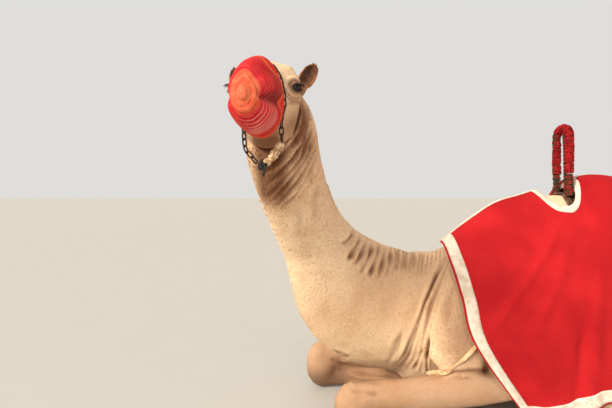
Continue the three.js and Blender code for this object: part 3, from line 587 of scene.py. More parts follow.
thinned(head, flesh["headTriangles"])
coarse = body.vertex_groups.new(name="coarse")
coarse.add(np.flatnonzero(~foldParts(body.data)).tolist(), 1.0, "REPLACE")
thinned(body, flesh["bodyTriangles"], vertex_group="coarse")
body.vertex_groups.clear()
print("body faces", len(body.data.polygons))
skin = joinSkins(body, head)
skin.name = "hide"
shadeSmooth(skin.data)
print("skin faces", len(skin.data.polygons))
skinTree = BVHTree.FromObject(skin, bpy.context.evaluated_depsgraph_get())


def markHide(points):  # how brown, how pale and how bare the hide is at each point, with painted shade in the ears, on the cheeks, under the throat and behind the jaw
    local = camelFrame(points)
    face = toHead(points)
    brown, pale, bare, red = np.zeros((4, len(points)))
    for name, side in both:
        at, rows = eyeFrame(side)
        out, y, z = ((face - at) @ rows).T
        y = y * side
        ring = np.exp(-(((y - 0.004) / 0.030) ** 2) - ((z - 0.003) / 0.021) ** 2) * smoothly(-0.02, 0.0, out)
        brown = np.maximum(brown, np.clip(1.5 * ring, 0, 1))
        bare = np.maximum(bare, np.exp(-((np.hypot(y / 1.4, z) / 0.0165) ** 4)) * smoothly(-0.01, 0.01, out))
        at, rows = earFrame(name, side)
        ear = (face - at) @ rows
        onEar = smoothly(0.012, 0.04, ear[:, 2]) * smoothly(0.085, 0.1, face[:, 1] * side)
        onEar = onEar * smoothly(0.06, 0.045, np.hypot(ear[:, 0], ear[:, 1]))
        # the inside of the ear: painted shade in its hollow, deepest in the cup
        inside = onEar * smoothly(-0.016, -0.009, ear[:, 0]) * smoothly(0.029, 0.02, np.abs(ear[:, 1]))
        brown = np.maximum(brown, np.maximum(0.30 * onEar, 0.98 * inside))
        red = np.maximum(red, onEar)
        cup = smoothly(0.026, 0.015, np.abs(ear[:, 1] + 0.003 * side)) * smoothly(0.108, 0.085, ear[:, 2])
        bare = np.maximum(bare, inside * cup)
        root = np.linalg.norm(face - at - (0.020, 0, 0.004), axis=1)
        brown = np.maximum(brown, 0.9 * np.exp(-((root / 0.034) ** 4)))
    ahead, aside, up = face.T
    # the throat: darker hair, and painted shade under the jaw
    throat = smoothly(-0.11, -0.17, up) * smoothly(-0.47, -0.36, up)
    throat = throat * smoothly(0.085, 0.03, np.abs(aside)) * smoothly(-0.30, -0.17, ahead)
    brown = np.maximum(brown, 0.88 * throat)
    # painted shadow in the hollow between the jaw and the neck
    hollow = bell(ahead, -0.112, 0.034) * smoothly(0.0, -0.05, up) * smoothly(-0.24, -0.15, up)
    brown = np.maximum(brown, 0.85 * hollow * smoothly(0.06, 0.09, np.abs(aside)))
    # painted shade behind the jaw
    behind = bell(ahead, -0.145, 0.06) * smoothly(-0.12, -0.17, up) * smoothly(-0.32, -0.22, up)
    brown = np.maximum(brown, 0.40 * behind)
    # the cheek: browner hair, and painted shade on it
    cheek = np.exp(-(((ahead + 0.035) / 0.07) ** 2) - ((up + 0.115) / 0.055) ** 2)
    brown = np.maximum(brown, 0.68 * cheek)
    onHead = np.linalg.norm(face - (0.05, 0, -0.03), axis=1) < 0.26
    brown = np.maximum(brown, 0.13 * onHead)
    pale = np.maximum(pale, 0.35 * smoothly(0.02, 0.06, up) * onHead)
    nostril = np.exp(-(((np.abs(aside) - 0.028) / 0.012) ** 2) - ((ahead - 0.268) / 0.02) ** 2)
    bare = np.maximum(bare, nostril * smoothly(-0.03, -0.01, up))
    x, y, z = np.abs(local[:, 0]), local[:, 1], local[:, 2]
    pale = np.maximum(pale, smoothly(0.62, 0.35, z) * smoothly(0.05, -0.15, y) * smoothly(0.1, 0.25, z))
    legs = smoothly(0.335, 0.27, z) * smoothly(0.30, 0.1, y) * smoothly(0.13, 0.2, x)
    brown = np.maximum(brown, 0.52 * legs)
    pale *= 1 - legs
    run, _, _, middle = alongNeck(local)
    crest = smoothly(0.02, 0.12, local[:, 1] - middle[:, 1]) * span(run, 0.5, 0.62, 1.3, 1.5)
    brown = np.maximum(brown, 0.12 * crest)
    base = smoothly(0.72, 0.84, z) * smoothly(-0.45, -0.2, y) * (1 - smoothly(0.05, 0.2, y))
    brown = np.maximum(brown, 0.28 * base)
    shoulder = np.exp(-(((y + 0.02) / 0.11) ** 2) - ((z - 0.44) / 0.18) ** 2) * smoothly(0.12, 0.2, x)
    brown = np.maximum(brown, 0.58 * shoulder)
    brown = np.maximum(brown, 0.34 * smoothly(0.15, 0.02, z))
    for centre, size in flesh["pads"]:
        away = np.linalg.norm((np.stack([x, y, z], 1) - centre), axis=1)
        bare = np.maximum(bare, 0.8 * np.exp(-((away / size) ** 4)) * smoothly(0.2, 0.05, z))
    return {"brown": brown, "pale": pale, "bare": bare, "red": red}


for name, values in markHide(pointsOf(skin.data)).items():
    storeValue(skin.data, name, np.clip(values, 0, 1))


def furColour(finish):  # the markings that the skin and the coat share, with the painted shade they share
    drift = finish.noise(1.7, 3.0)
    patch = finish.noise(9.0, 4.0)
    grain = finish.noise(85.0, 3.0)
    base = finish.mix(finish.between(drift, 0.35, 0.68), tint("e3ba93"), tint("f3d3ae"))
    base = finish.mix(finish.attribute("pale") * 0.75, base, tint("fbdcb4"))
    base = finish.mix(finish.between(patch, 0.45, 0.75, 0.0, 0.38), base, tint("c8976d"))
    base = finish.mix(finish.attribute("red") * 0.8, base, tint("b06a40"))
    # brown hair, and painted shade in the ears, on the cheeks, under the throat and behind the jaw
    base = finish.mix(finish.attribute("brown"), base, tint("6b3b22"))
    # painted shade in the grooves of the folds
    base = finish.mix(finish.attribute("fold") * 0.92, base, tint("6a3a20"))
    # bare skin, and painted shade inside the ears
    base = finish.mix(finish.attribute("bare") * 0.85, base, tint("3c281e"))
    return finish.mix(finish.between(grain, 0.3, 0.72, 0.0, 0.20), base, tint("a06c44"))


hide = Finish("hide", Roughness=0.85, Specular_IOR_Level=0.25)
hide.feed("Base Color", furColour(hide))
nap = hide.noise(210.0, 3.0, hide.place(scale=(1.0, 0.35, 0.6)))
pores = hide.noise(55.0, 4.0)
hide.feed("Normal", hide.bump(nap * 0.7 + pores * 0.6, 0.0035, 0.55))
hide.put(skin)
finished(skin, "hide", *flesh["body"], *flesh["head"])


# sheets made from a grid

def gridPiece(name, columns, rows, place, shut=True, marks=None):  # place turns 0 to 1 into points
    shape = bmesh.new()
    shape.loops.layers.uv.new("lay")
    bmesh.ops.create_grid(shape, x_segments=columns, y_segments=rows, size=0.5, calc_uvs=True)
    mesh = meshFrom(shape, name)
    flat = pointsOf(mesh)[:, :2] + 0.5
    setPoints(mesh, place(flat[:, 0], flat[:, 1]))
    for key, values in (marks(flat[:, 0], flat[:, 1]) if marks else {}).items():
        storeValue(mesh, key, values)
    if shut:
        weld(mesh)
    shadeSmooth(mesh)
    return newPiece(name, mesh)


def weld(mesh, reach=2e-5):
    shape = bmesh.new()
    shape.from_mesh(mesh)
    bmesh.ops.remove_doubles(shape, verts=shape.verts, dist=reach)
    bmesh.ops.dissolve_degenerate(shape, dist=1e-7, edges=shape.edges)
    bmesh.ops.recalc_face_normals(shape, faces=shape.faces)
    shape.to_mesh(mesh)
    shape.free()


# the cloth over the back

print("cloth")
cloth = {
    "ridgeLength": 1.560,
    "ribLength": 2.140,
    "thickness": 0.0032,
    "outside": 0.0052,  # its face, above the ribs
    "cell": 0.0125,
    "trimInset": 0.009,
    "trimWidth": 0.052,
    "trimThickness": 0.0026,
    "openingHalf": (0.132, 0.106),
    "openingAt": (0.0, 0.652),
    "openingTape": 0.026,
    "ridgeTrim": 0.036,
    "farTuck": 0.085,  # how far its front edge draws back on the right
}
clothRibs = [  # the left half of each rib, from the ridge to the hem, in millimetres
    [(0, 0, 903), (172, -15, 808), (264, 0, 655), (322, 41, 441), (368, 292, 75)],
    [(0, 150, 1018), (182, 152, 862), (292, 170, 650), (346, 206, 430), (382, 400, 80)],
    [(0, 300, 1116), (192, 308, 912), (310, 322, 665), (360, 355, 430), (397, 505, 108)],
    [(0, 450, 1164), (192, 458, 958), (322, 468, 690), (370, 490, 440), (406, 614, 163)],
    [(0, 600, 1203), (192, 600, 995), (332, 600, 706), (378, 610, 446), (409, 691, 188)],
    [(0, 735, 1204), (200, 728, 1030), (334, 728, 722), (378, 735, 452), (406, 775, 201)],
    [(0, 806, 1272), (208, 806, 1190), (306, 808, 860), (372, 815, 500), (402, 850, 213)],
    [(0, 950, 1275), (208, 950, 1193), (300, 950, 850), (362, 955, 500), (396, 968, 215)],
    [(0, 1092, 1225), (196, 1092, 1137), (282, 1090, 820), (342, 1090, 500), (380, 1082, 217)],
    [(0, 1178, 1118), (166, 1178, 1022), (246, 1182, 786), (310, 1180, 500), (354, 1168, 219)],
    [(0, 1240, 960), (122, 1248, 890), (212, 1250, 740), (278, 1244, 490), (326, 1228, 221)],
]
halfRibs = np.array(clothRibs, float) / 1000
fullRibs = np.concatenate([halfRibs[:, :0:-1] * (-1, 1, 1), halfRibs], 1)


def clothForm(s, t):  # along the ridge and across it, from the right hem to the left one
    s, t = np.broadcast_arrays(s, t)
    across = catmull(fullRibs.transpose(1, 0, 2), t.ravel())  # every rib at each t
    lines = np.concatenate(
        [2 * across[:, :1] - across[:, 1:2], across, 2 * across[:, -1:] - across[:, -2:-1]], 1)
    along = np.clip(s.ravel(), 0, 1) * (across.shape[1] - 1)
    first = np.minimum(along.astype(int), across.shape[1] - 2)
    order = np.arange(len(across))
    return sum(w[:, None] * lines[order, first + i] for i, w in enumerate(hermite(along - first)))


clothFolds = [  # a line in the view in pixels, its half width there and its height in metres
    ([(566, 214), (540, 262), (512, 304), (489, 335)], 5.0, 0.010),
    ([(572, 236), (556, 290), (530, 345)], 6.0, 0.006),
    ([(585, 326), (580, 360), (577, 412)], 5.0, -0.012),
    ([(602, 250), (596, 330), (594, 405)], 7.0, 0.008),
    ([(455, 250), (478, 262), (510, 262)], 6.0, 0.004),
    ([(500, 345), (520, 352), (548, 350)], 6.0, 0.004),
]


def clothRise(points, s, t):  # how far the cloth stands off its form
    side = t * 2 - 1  # from -1 at the right hem to 1 at the left one
    left = points.copy()
    left[:, 0] = np.abs(left[:, 0])
    pixels, _ = toPixels(left + shift)
    rise = np.zeros(len(points))
    for line, width, height in clothFolds:
        far, share = nearLine(pixels, line)
        ends = np.clip(4 * share, 0, 1) * np.clip(4 * (1 - share), 0, 1) * 0.7 + 0.3
        rise += height * np.exp(-((far / width) ** 2)) * ends * np.where(side > 0, 1, 0.7)
    low = smoothly(0.45, 1.0, np.abs(side))
    waves = np.sin(s * 41 + 2.2 * side) + 0.6 * np.sin(s * 67 - 1.7 + 3 * side)
    waves = waves + 0.4 * np.sin(s * 23 + 4 * np.abs(side))
    rise += 0.0048 * low * waves
    rise += 0.0016 * np.sin(s * 29 + 9 * side) * np.sin(17 * side + s * 11)
    rise -= 0.012 * smoothly(0.10, 0.0, s) * smoothly(-0.02, -0.10, side) * (1 - smoothly(-0.35, -0.5, side))
    return rise * smoothly(0, 0.05, np.minimum(s, 1 - s) + 0.02)


def clothPoints(s, t, lift=0.0):  # on the draped cloth, lifted off it
    s, t = np.clip(s, 0, 1), np.clip(t, 0, 1)
    step = 0.004
    form = clothForm(s, t)
    right = 1 - 2 * t
    tuck = smoothly(0.0, 0.10, right) * smoothly(0.75, 0.35, right) * smoothly(0.16, 0.0, s)
    form[:, 1] += cloth["farTuck"] * tuck
    a, b = np.clip(s, step, 1 - step), np.clip(t, step, 1 - step)
    along = clothForm(a + step, t) - clothForm(a - step, t)
    across = clothForm(s, b + step) - clothForm(s, b - step)
    out = unit(np.cross(across, along))
    rise = clothRise(form, s, t) + lift
    return form + out * rise[:, None] + shift, out


def clothSheet():
    rows, columns = round(cloth["ridgeLength"] / cloth["cell"]), round(cloth["ribLength"] / cloth["cell"])
    return gridPiece(
        "cloth_sheet", columns, rows, lambda u, v: clothPoints(v, u, cloth["outside"])[0], shut=False)


sheet = clothSheet()
clothTree = BVHTree.FromObject(sheet, bpy.context.evaluated_depsgraph_get())
openingAt = np.array(cloth["openingAt"])
openingHalf = np.array(cloth["openingHalf"])


def clothBelow(plan):  # where the cloth is under a place
    return clothTree.ray_cast(Vector((*plan, 2.0)), Vector((0, 0, -1)))[0]


def cutOpening(piece):
    shape = bmesh.new()
    shape.from_mesh(piece.data)
    inside = []
    for face in shape.faces:
        middle = camelFrame(np.array(face.calc_center_median()))
        if np.linalg.norm((middle[:2] - openingAt) / openingHalf) < 1 and middle[2] > 0.8:
            inside.append(face)
    bmesh.ops.delete(shape, geom=inside, context="FACES")
    for vert in shape.verts:
        at = camelFrame(np.array(vert.co))
        reach = (at[:2] - openingAt) / openingHalf
        size = np.linalg.norm(reach)
        if vert.is_boundary and size < 1.3 and at[2] > 0.8:
            target = openingAt + reach / size * openingHalf + shift[:2]
            vert.co = clothBelow(target) or vert.co
    shape.to_mesh(piece.data)
    shape.free()


cutOpening(sheet)
modify(sheet, "SOLIDIFY", thickness=cloth["thickness"], offset=-1.0)
shadeSmooth(sheet.data)


def thicken(piece, thickness):
    modify(piece, "SOLIDIFY", thickness=thickness, offset=1.0)
    shadeSmooth(piece.data)
    return piece


def borderTape():
    length, width = cloth["ridgeLength"], cloth["ribLength"]
    perSide = (120, 160)
    count = 2 * sum(perSide)

    def place(u, v):
        inset = cloth["trimInset"] + cloth["trimWidth"] * v
        k = np.round(u * count).astype(int) % count
        side = np.searchsorted(np.cumsum([perSide[0], perSide[1], perSide[0]]), k, side="right")
        start = np.array([0, perSide[0], sum(perSide), perSide[0] + sum(perSide)])[side]
        f = (k - start) / np.array([perSide[0], perSide[1], perSide[0], perSide[1]])[side]
        ds, dt = inset / length, inset / width
        corners = np.array([(0, 0), (1, 0), (1, 1), (0, 1), (0, 0)])
        a, b = corners[side], corners[side + 1]
        s = (a[:, 0] + (b[:, 0] - a[:, 0]) * f) * (1 - 2 * ds) + ds
        t = (a[:, 1] + (b[:, 1] - a[:, 1]) * f) * (1 - 2 * dt) + dt
        return clothPoints(s, t, cloth["outside"] + 0.0006)[0]

    return thicken(gridPiece("tape_edge", count, 5, place), cloth["trimThickness"])


def ridgeTape(name, first, last):
    half = cloth["ridgeTrim"] / 2 / cloth["ribLength"]

    def place(u, v):
        return clothPoints(first + (last - first) * v, 0.5 + half * (2 * u - 1), cloth["outside"] + 0.0006)[0]

    return thicken(gridPiece(name, 5, round((last - first) * 130), place, shut=False), cloth["trimThickness"])


def openingTape():
    def place(u, v):
        turn = 2 * np.pi * u
        reach = openingHalf + (v * cloth["openingTape"] - 0.001)[:, None]
        plan = np.stack([np.cos(turn), np.sin(turn)], 1) * reach + openingAt + shift[:2]
        return np.array([clothBelow(p) for p in plan]) + (0, 0, 0.0007)

    return thicken(gridPiece("tape_hole", 96, 4, place), cloth["trimThickness"])


def ridgeAt(y):  # how far along the ridge the cloth is at y
    s = np.linspace(0, 1, 400)
    return float(np.interp(y, clothForm(s, np.full(400, 0.5))[:, 1], s))


edge = cloth["openingHalf"][1] + cloth["openingTape"] + 0.001
frontEnd, rearStart = ridgeAt(openingAt[1] - edge), ridgeAt(openingAt[1] + edge)
ends = (cloth["trimInset"] + cloth["trimWidth"] + 0.001) / cloth["ridgeLength"]
tapes = {
    "tape_border": borderTape(),
    "tape_opening": openingTape(),
    "tape_ridge_front": ridgeTape("tape_front", ends, frontEnd),
    "tape_ridge_rear": ridgeTape("tape_rear", rearStart, 1 - ends),
}

redCloth = Finish("red_cloth", Roughness=0.85, Specular_IOR_Level=0.12)
redColour = redCloth.dapple(4.0, 4.0, 0.35, 0.7, "a5161b", "b71d21")
fleck = redCloth.between(redCloth.noise(160.0, 3.0), 0.45, 0.8, 0.0, 0.25)
redCloth.feed("Base Color", redCloth.mix(fleck, redColour, tint("8c1015")))
threads = {0: redCloth.attribute("lay", 1), 1: (190.0, 260.0, 1.0)}
lay = redCloth.node("ShaderNodeVectorMath", {"operation": "MULTIPLY"}, threads)
bands = {"wave_type": "BANDS", "bands_direction": "X"}
weave = redCloth.node("ShaderNodeTexWave", bands, {"Scale": 1.0, "Vector": lay})
redCloth.feed("Normal", redCloth.bump(redCloth.noise(34.0, 4.0) * 0.8 + weave * 0.25, 0.0035, 0.5))
redCloth.put(sheet)
whiteTape = Finish("white_tape", Roughness=0.85, Specular_IOR_Level=0.2)
dust = whiteTape.between(whiteTape.noise(24.0, 4.0), 0.35, 0.7)
thread = whiteTape.between(whiteTape.noise(95.0, 3.0), 0.60, 0.63)
thread = thread * whiteTape.between(whiteTape.noise(11.0), 0.5, 0.6)
tapeColour = whiteTape.mix(dust, tint("e2d2c1"), tint("cbb8a3"))
whiteTape.feed("Base Color", whiteTape.mix(thread * 0.6, tapeColour, tint("b8564a")))
whiteTape.feed("Normal", whiteTape.bump(whiteTape.noise(60.0, 5.0), 0.004, 0.7))
whiteTape.put(*tapes.values())
finished(sheet, "red_cloth", "cloth")
for name, piece in tapes.items():
    finished(piece, "white_tape", name)


# the crocheted cover over the muzzle

print("muzzle cover")
cover = {
    "rows": 21,  # of crochet, from the tip to the rim
    "stitches": 95.5,
    "ridge": 0.0038,
    "stitch": 0.0010,
    "wall": 0.0050,
    "mouth": (-0.009, 0.006),  # how far the tip lies to the left and below the middle
}
# along the head, half width, half height, its middle's height and how narrow it gets above
coverRun = np.array([
    (345, 0, 0, -64, 0.2), (344, 8, 12, -64, 0.2), (341, 19, 27, -64, 0.2), (325, 39, 57, -61, 0.3),
    (292, 54, 81, -57, 0.36), (240, 63, 96, -53, 0.36), (180, 67, 107, -48, 0.33), (120, 69, 117, -44, 0.23),
    (84, 69, 119, -42, 0.18),
]) / (1000, 1000, 1000, 1000, 1)
coverSteps = runAlong(coverRun[:, :3] * (1, 0.7, 0.7))
coverSteps /= coverSteps[-1]


def catmullKnots(points, knots, at):  # the curve through points that are reached at knots
    return catmull(points, np.interp(at, knots, np.linspace(0, 1, len(knots))))


def arc(turn, centre, width):  # a soft bump round the cover at a turn, in degrees
    away = (turn - math.radians(centre) + np.pi) % (2 * np.pi) - np.pi
    return np.exp(-((away / math.radians(width)) ** 2))


def coverRows(u, v):  # how far from tip to rim, the turn, and the row of crochet, which winds outwards
    run = np.clip(np.where(v < 0.8, v / 0.8, 1 - (v - 0.8) / 0.2), 0, 1)
    row = run * cover["rows"] + u
    return run, 2 * np.pi * u, row, row % 1


def stitchWave(turn, row):
    return np.cos(turn * cover["stitches"] + np.pi * np.floor(row))


def coverPlace(u, v):
    run, turn, row, tooth = coverRows(u, v)
    fine = catmullKnots(coverRun, coverSteps, run)
    c, s = np.cos(turn), np.sin(turn)
    bend = lambda w: np.sign(w) * np.abs(w) ** (2 / 2.15)
    saw = np.where(tooth < 0.72, tooth / 0.72, (1 - tooth) / 0.28)
    lower = arc(turn, -60, 62) * smoothly(0.24, 0.36, run)
    step = cover["ridge"] * (saw - 0.5) * (0.75 + 1.9 * lower) * span(run, 0.02, 0.1, 0.93, 1.0)
    knots = cover["stitch"] * stitchWave(turn, row) * np.sin(np.pi * tooth) * smoothly(0.1, 0.3, run)
    window = smoothly(0.13, 0.24, run) * (1 - smoothly(0.70, 0.9, run))
    crease = -0.0165 * arc(turn, -10, 8) - 0.007 * arc(turn, 186, 10)
    lobes = 0.0085 * arc(turn, 15, 17) + 0.003 * arc(turn, -34, 18) + 0.003 * arc(turn, 205, 15)
    dent = -0.005 * np.exp(-(((run - 0.08) / 0.03) ** 2))
    outer = (step + knots + (crease + lobes) * window + dent) * smoothly(0.0, 0.05, run)
    rise = np.where(v < 0.8, outer, -cover["wall"] + crease * window)
    narrow = 1 - fine[:, 4] * np.clip(s, 0, 1) ** 1.3
    shape = np.stack([fine[:, 0], bend(c) * fine[:, 1] * narrow, bend(s) * fine[:, 2] + fine[:, 3]], 1)
    tip = 1 - smoothly(0.0, 0.5, run)
    shape[:, 1] += cover["mouth"][0] * tip
    shape[:, 2] += cover["mouth"][1] * tip
    forward = np.clip(1 - run * 3.2, 0, 1)
    aside = np.sqrt(1 - forward**2)
    return fromHead(shape + np.stack([forward, c * aside, s * aside], 1) * rise[:, None])


def coverMarks(u, v):  # what its colours depend on
    run, turn, row, tooth = coverRows(u, v)
    wider = arc(turn, 45, 48)
    low, high = 0.80 - 0.19 * wider, 0.855 - 0.125 * wider
    # painted shade: in the crease, on the lower side of each row of the lower lobe, and on the shaded part of
    # the upper lobe
    fold = arc(turn, -6, 11) * smoothly(0.18, 0.30, run) * (1 - smoothly(0.8, 0.95, run))
    below = arc(turn, -60, 50) * span(run, 0.42, 0.6, 0.78, 0.86) * smoothly(0.5, 0.1, tooth)
    above = arc(turn, 18, 22) * smoothly(0.3, 0.45, run) * (1 - smoothly(0.6, 0.8, run))
    orange = arc(turn, -48, 26) * smoothly(0.84, 0.88, run) + 0.5 * arc(turn, -85, 30) * smoothly(
        0.8, 0.9, run)
    return {
        "run": run,
        "stripe": smoothly(-0.012, 0.012, run - low) * (1 - smoothly(-0.012, 0.012, run - high)),
        "rim": smoothly(-0.012, 0.012, run - high),
        # where painted light falls on the lower lobe
        "light": arc(turn, -62, 46) * smoothly(0.16, 0.26, run) * (1 - smoothly(0.50, 0.66, run)),
        "tooth": tooth,
        "loop": 0.5 + 0.5 * stitchWave(turn, row),
        "crimson": np.clip(fold + 0.75 * below + 0.6 * above, 0, 1),
        "orange": np.clip(orange, 0, 1),
    }


coverPiece = gridPiece("crochet_cover", 288, 182, coverPlace, marks=coverMarks)
crochet = Finish("crochet", Roughness=0.92, Specular_IOR_Level=0.15)
cord = crochet.noise(420.0, 3.0)
mottle = crochet.between(crochet.noise(38.0, 3.0), 0.35, 0.65)
run, tooth, stitch, stripe, rim = (
    crochet.attribute(name) for name in ("run", "tooth", "loop", "stripe", "rim"))
coral = crochet.mix(mottle, tint("d6583a"), tint("dc7450"))
pinkRed = crochet.mix(mottle, tint("cd1f28"), tint("d63638"))
yarns = crochet.mix(crochet.between(run, 0.150, 0.185), coral, pinkRed)
yarns = crochet.mix(
    crochet.between(run, 0.34, 0.40), yarns, crochet.mix(mottle, tint("c41a22"), tint("d62b2a")))
# painted shade in the crease and on the shaded parts of the lobes
yarns = crochet.mix(crochet.attribute("crimson") * 0.85, yarns, tint("7a161a"))
yarns = crochet.mix(stripe, yarns, tint("e2602f"))
yarns = crochet.mix(rim, yarns, crochet.mix(mottle, tint("d01a1c"), tint("dc2a24")))
yarns = crochet.mix(crochet.attribute("orange"), yarns, tint("d84a28"))
# painted shade in the gaps between rows and in the stitch holes
holes = crochet.between(stitch, 0.72, 0.95) * crochet.between(tooth, 0.25, 0.4)
gaps = (1 - crochet.between(tooth, 0.0, 0.26)) * 0.68 + holes * (1 - crochet.between(tooth, 0.55, 0.75)) * 0.62
yarns = crochet.mix(gaps, yarns, tint("7d1418"))
lit = crochet.between(tooth, 0.55, 0.74) * crochet.between(run, 0.1, 0.3, 0.16, 0.4)
yarns = crochet.mix(lit, yarns, tint("ee8a72"))
# painted highlight on the rows of the lower lobe
lobeHighlight = crochet.attribute("light") * crochet.between(tooth, 0.42, 0.62) * 0.7
crochet.feed("Base Color", crochet.mix(lobeHighlight, yarns, tint("eda298")))
crochet.feed("Normal", crochet.bump(cord, 0.0011, 0.8))
crochet.put(coverPiece)
finished(coverPiece, "crochet", "muzzle_cover")


# tubes and cords made from a grid

def frames(points, up=(0, 0, 1)):  # directions that do not twist along a line of points
    ways = unit(np.gradient(points, axis=0), 1e-9)
    side = np.cross(ways[0], up)
    if np.linalg.norm(side) < 0.05:
        side = np.cross(ways[0], (1, 0, 0.01))
    sides = []
    for way in ways:
        side = side - way * (side @ way)
        side = side / np.linalg.norm(side)
        sides.append(side)
    sides = np.array(sides)
    return ways, sides, np.cross(ways, sides)


def tube(name, points, radius, around=8):  # a round cord with closed ends; radius may vary along it
    points = np.asarray(points, float)
    count = len(points)
    radius = np.broadcast_to(np.asarray(radius, float), count)
    _, side, rise = frames(points)

    def place(u, v):
        row = np.round(v * (count + 1)).astype(int)
        inner = np.clip(row - 1, 0, count - 1)
        size = np.where((row == 0) | (row == count + 1), 0, radius[inner])[:, None]
        turn = 2 * np.pi * u[:, None]
        return points[inner] + size * (np.cos(turn) * side[inner] + np.sin(turn) * rise[inner])

    return gridPiece(name, around, count + 1, place)


def joined(name, pieces):
    shape = bmesh.new()
    for piece in pieces:
        shape.from_mesh(piece.data)
        old = piece.data
        bpy.data.objects.remove(piece)
        bpy.data.meshes.remove(old)
    return newPiece(name, meshFrom(shape, name))


def wound(name, line, core, strand, pitch, perTurn=12, rough=0.0, seed=3):  # yarn wound round a line
    random.seed(seed)
    line = np.asarray(line, float)
    run = runAlong(line)
    turns = run[-1] / pitch
    count = int(turns * perTurn)
    t = np.linspace(0, 1, count)
    _, side, rise = frames(line)
    at = t * run[-1]
    wobble = np.interp(t, np.linspace(0, 1, 60), [random.uniform(-1, 1) for _ in range(60)])
    wobble2 = np.interp(t, np.linspace(0, 1, 140), [random.uniform(-1, 1) for _ in range(140)])
    at = np.clip(at + wobble * rough * pitch, 0, run[-1])
    pick = lambda rows: np.stack([np.interp(at, run, rows[:, k]) for k in range(3)], 1)
    turn = 2 * np.pi * turns * t
    coreHere = np.interp(at / run[-1], np.linspace(0, 1, len(np.atleast_1d(core))), np.atleast_1d(core))
    reach = (coreHere + strand * (0.8 + 0.35 * rough * wobble2))[:, None]
    points = pick(line) + reach * (np.cos(turn)[:, None] * pick(side) + np.sin(turn)[:, None] * pick(rise))
    return tube(name, points, strand * (1 + 0.12 * rough * wobble2), 6)


# eyes and lashes

print("eyes")


def eyeBall(name, side):
    at, rows = eyeFrame(side)
    shape = bmesh.new()
    bmesh.ops.create_uvsphere(shape, u_segments=48, v_segments=32, radius=eyes["radius"])
    bmesh.ops.rotate(shape, verts=shape.verts, matrix=Matrix.Rotation(math.radians(90), 3, "Y"))
    mesh = meshFrom(shape, name)
    points = pointsOf(mesh)
    angle = np.degrees(np.arccos(np.clip(points[:, 0] / eyes["radius"], -1, 1)))
    storeValue(mesh, "offAxis", angle / 90)
    storeValue(mesh, "slit", np.hypot(points[:, 1] / 1.9, points[:, 2]) / eyes["radius"])
    points += np.array([1, 0, 0]) * (0.0016 * np.exp(-((angle / 28) ** 2)))[:, None]
    setPoints(mesh, fromHead(points @ rows.T + at))
    shadeSmooth(mesh)
    return newPiece(name, mesh)


eyeGloss = Finish("eye", Roughness=0.09, IOR=1.38)
pupil = 1 - eyeGloss.between(eyeGloss.attribute("slit"), 0.20, 0.25)
spokes = eyeGloss.noise(260.0, 4.0)
iris = eyeGloss.mix(eyeGloss.between(spokes, 0.35, 0.7), tint("120906"), tint("26150c"))
white = eyeGloss.between(eyeGloss.attribute("offAxis"), 0.66, 0.76)
eyeColour = eyeGloss.mix(white, iris, tint("1c120d"))
eyeGloss.feed("Base Color", eyeGloss.mix(pupil, eyeColour, tint("050403")))


lashes = {
    "rows": [("upper", True, 46), ("lower", False, 24)],
    "long": {True: 0.019, False: 0.007},
    "sizes": np.array([0.9, 0.85, 0.65, 0.4, 0.12]) * 0.00055,  # from root to tip
}


def lashRow(name, side, count, upper, seed):
    random.seed(seed)
    at, rows = eyeFrame(side)
    made = []
    for i in range(count):
        f = (i + 0.5) / count
        angle = math.pi * (0.08 + 0.84 * f)
        y = 0.0215 * math.cos(angle)
        z = (0.0135 if upper else -0.0125) * math.sin(angle) + side * y * 0.16
        out = math.sqrt(max(0.0268**2 - y * y - z * z, 1e-6))
        root = np.array([out, y, z])
        long = random.uniform(0.8, 1.1) * lashes["long"][upper] * (0.55 + 0.45 * math.sin(angle))
        fan = math.cos(angle) * 0.75 + random.uniform(-0.12, 0.12)
        way = np.array([0.85, fan, (0.05 if upper else -0.5) + random.uniform(-0.1, 0.1)])
        way /= np.linalg.norm(way)
        curl = np.array([0.0, 0.0, -0.55 if upper else -0.1])
        line = [root + (way * t + curl * t * t * 0.8) * long for t in np.linspace(-0.08, 1, 5)]
        made.append(tube("lash", fromHead(np.array(line) @ rows.T + at), lashes["sizes"], 4))
    return joined(name, made)


lashHair = Finish("lash_hair", Roughness=0.5)
lashHair.feed("Base Color", lashHair.dapple(400.0, 3.0, 0.3, 0.7, "120a07", "2a1810"))
for name, side in both:
    ball = eyeBall(f"eyeball_{name}", side)
    eyeGloss.put(ball)
    finished(ball, "eye", f"eye_{name}")
    for row, upper, count in lashes["rows"]:
        lash = lashRow(f"lashes_{row}_{name}", side, count, upper, 5 + side + 2 * upper)
        lashHair.put(lash)
        finished(lash, "hair")


# the chain, the cord and the knot of the halter

print("halter")
chain = {"length": 0.033, "width": 0.020, "wire": 0.0054, "tilt": 38}
skinHit = lambda start, aim: skinTree.ray_cast(Vector(start), (Vector(aim) - Vector(start)).normalized())


def nosebandLine():
    low = [(0.030, -0.027, -0.240), (0.037, -0.046, -0.216), (0.046, -0.060, -0.186)]
    onFace = []
    for turn in (-136, -154, -172, 170, 152, 132, 108, 90, 72, 48, 28, 10, -8, -28, -50):
        a = math.radians(turn)
        x = 0.064 + 0.010 * math.sin(a)
        start = fromHead([x, 0.26 * math.cos(a), -0.035 + 0.26 * math.sin(a)])
        hit, normal, _, _ = skinHit(start, fromHead([x, 0, -0.035]))
        onFace.append(tuple(toHead(np.array(hit) + np.array(normal) * 0.0075)))
    return np.array(low + onFace + [(0.048, 0.058, -0.174)])


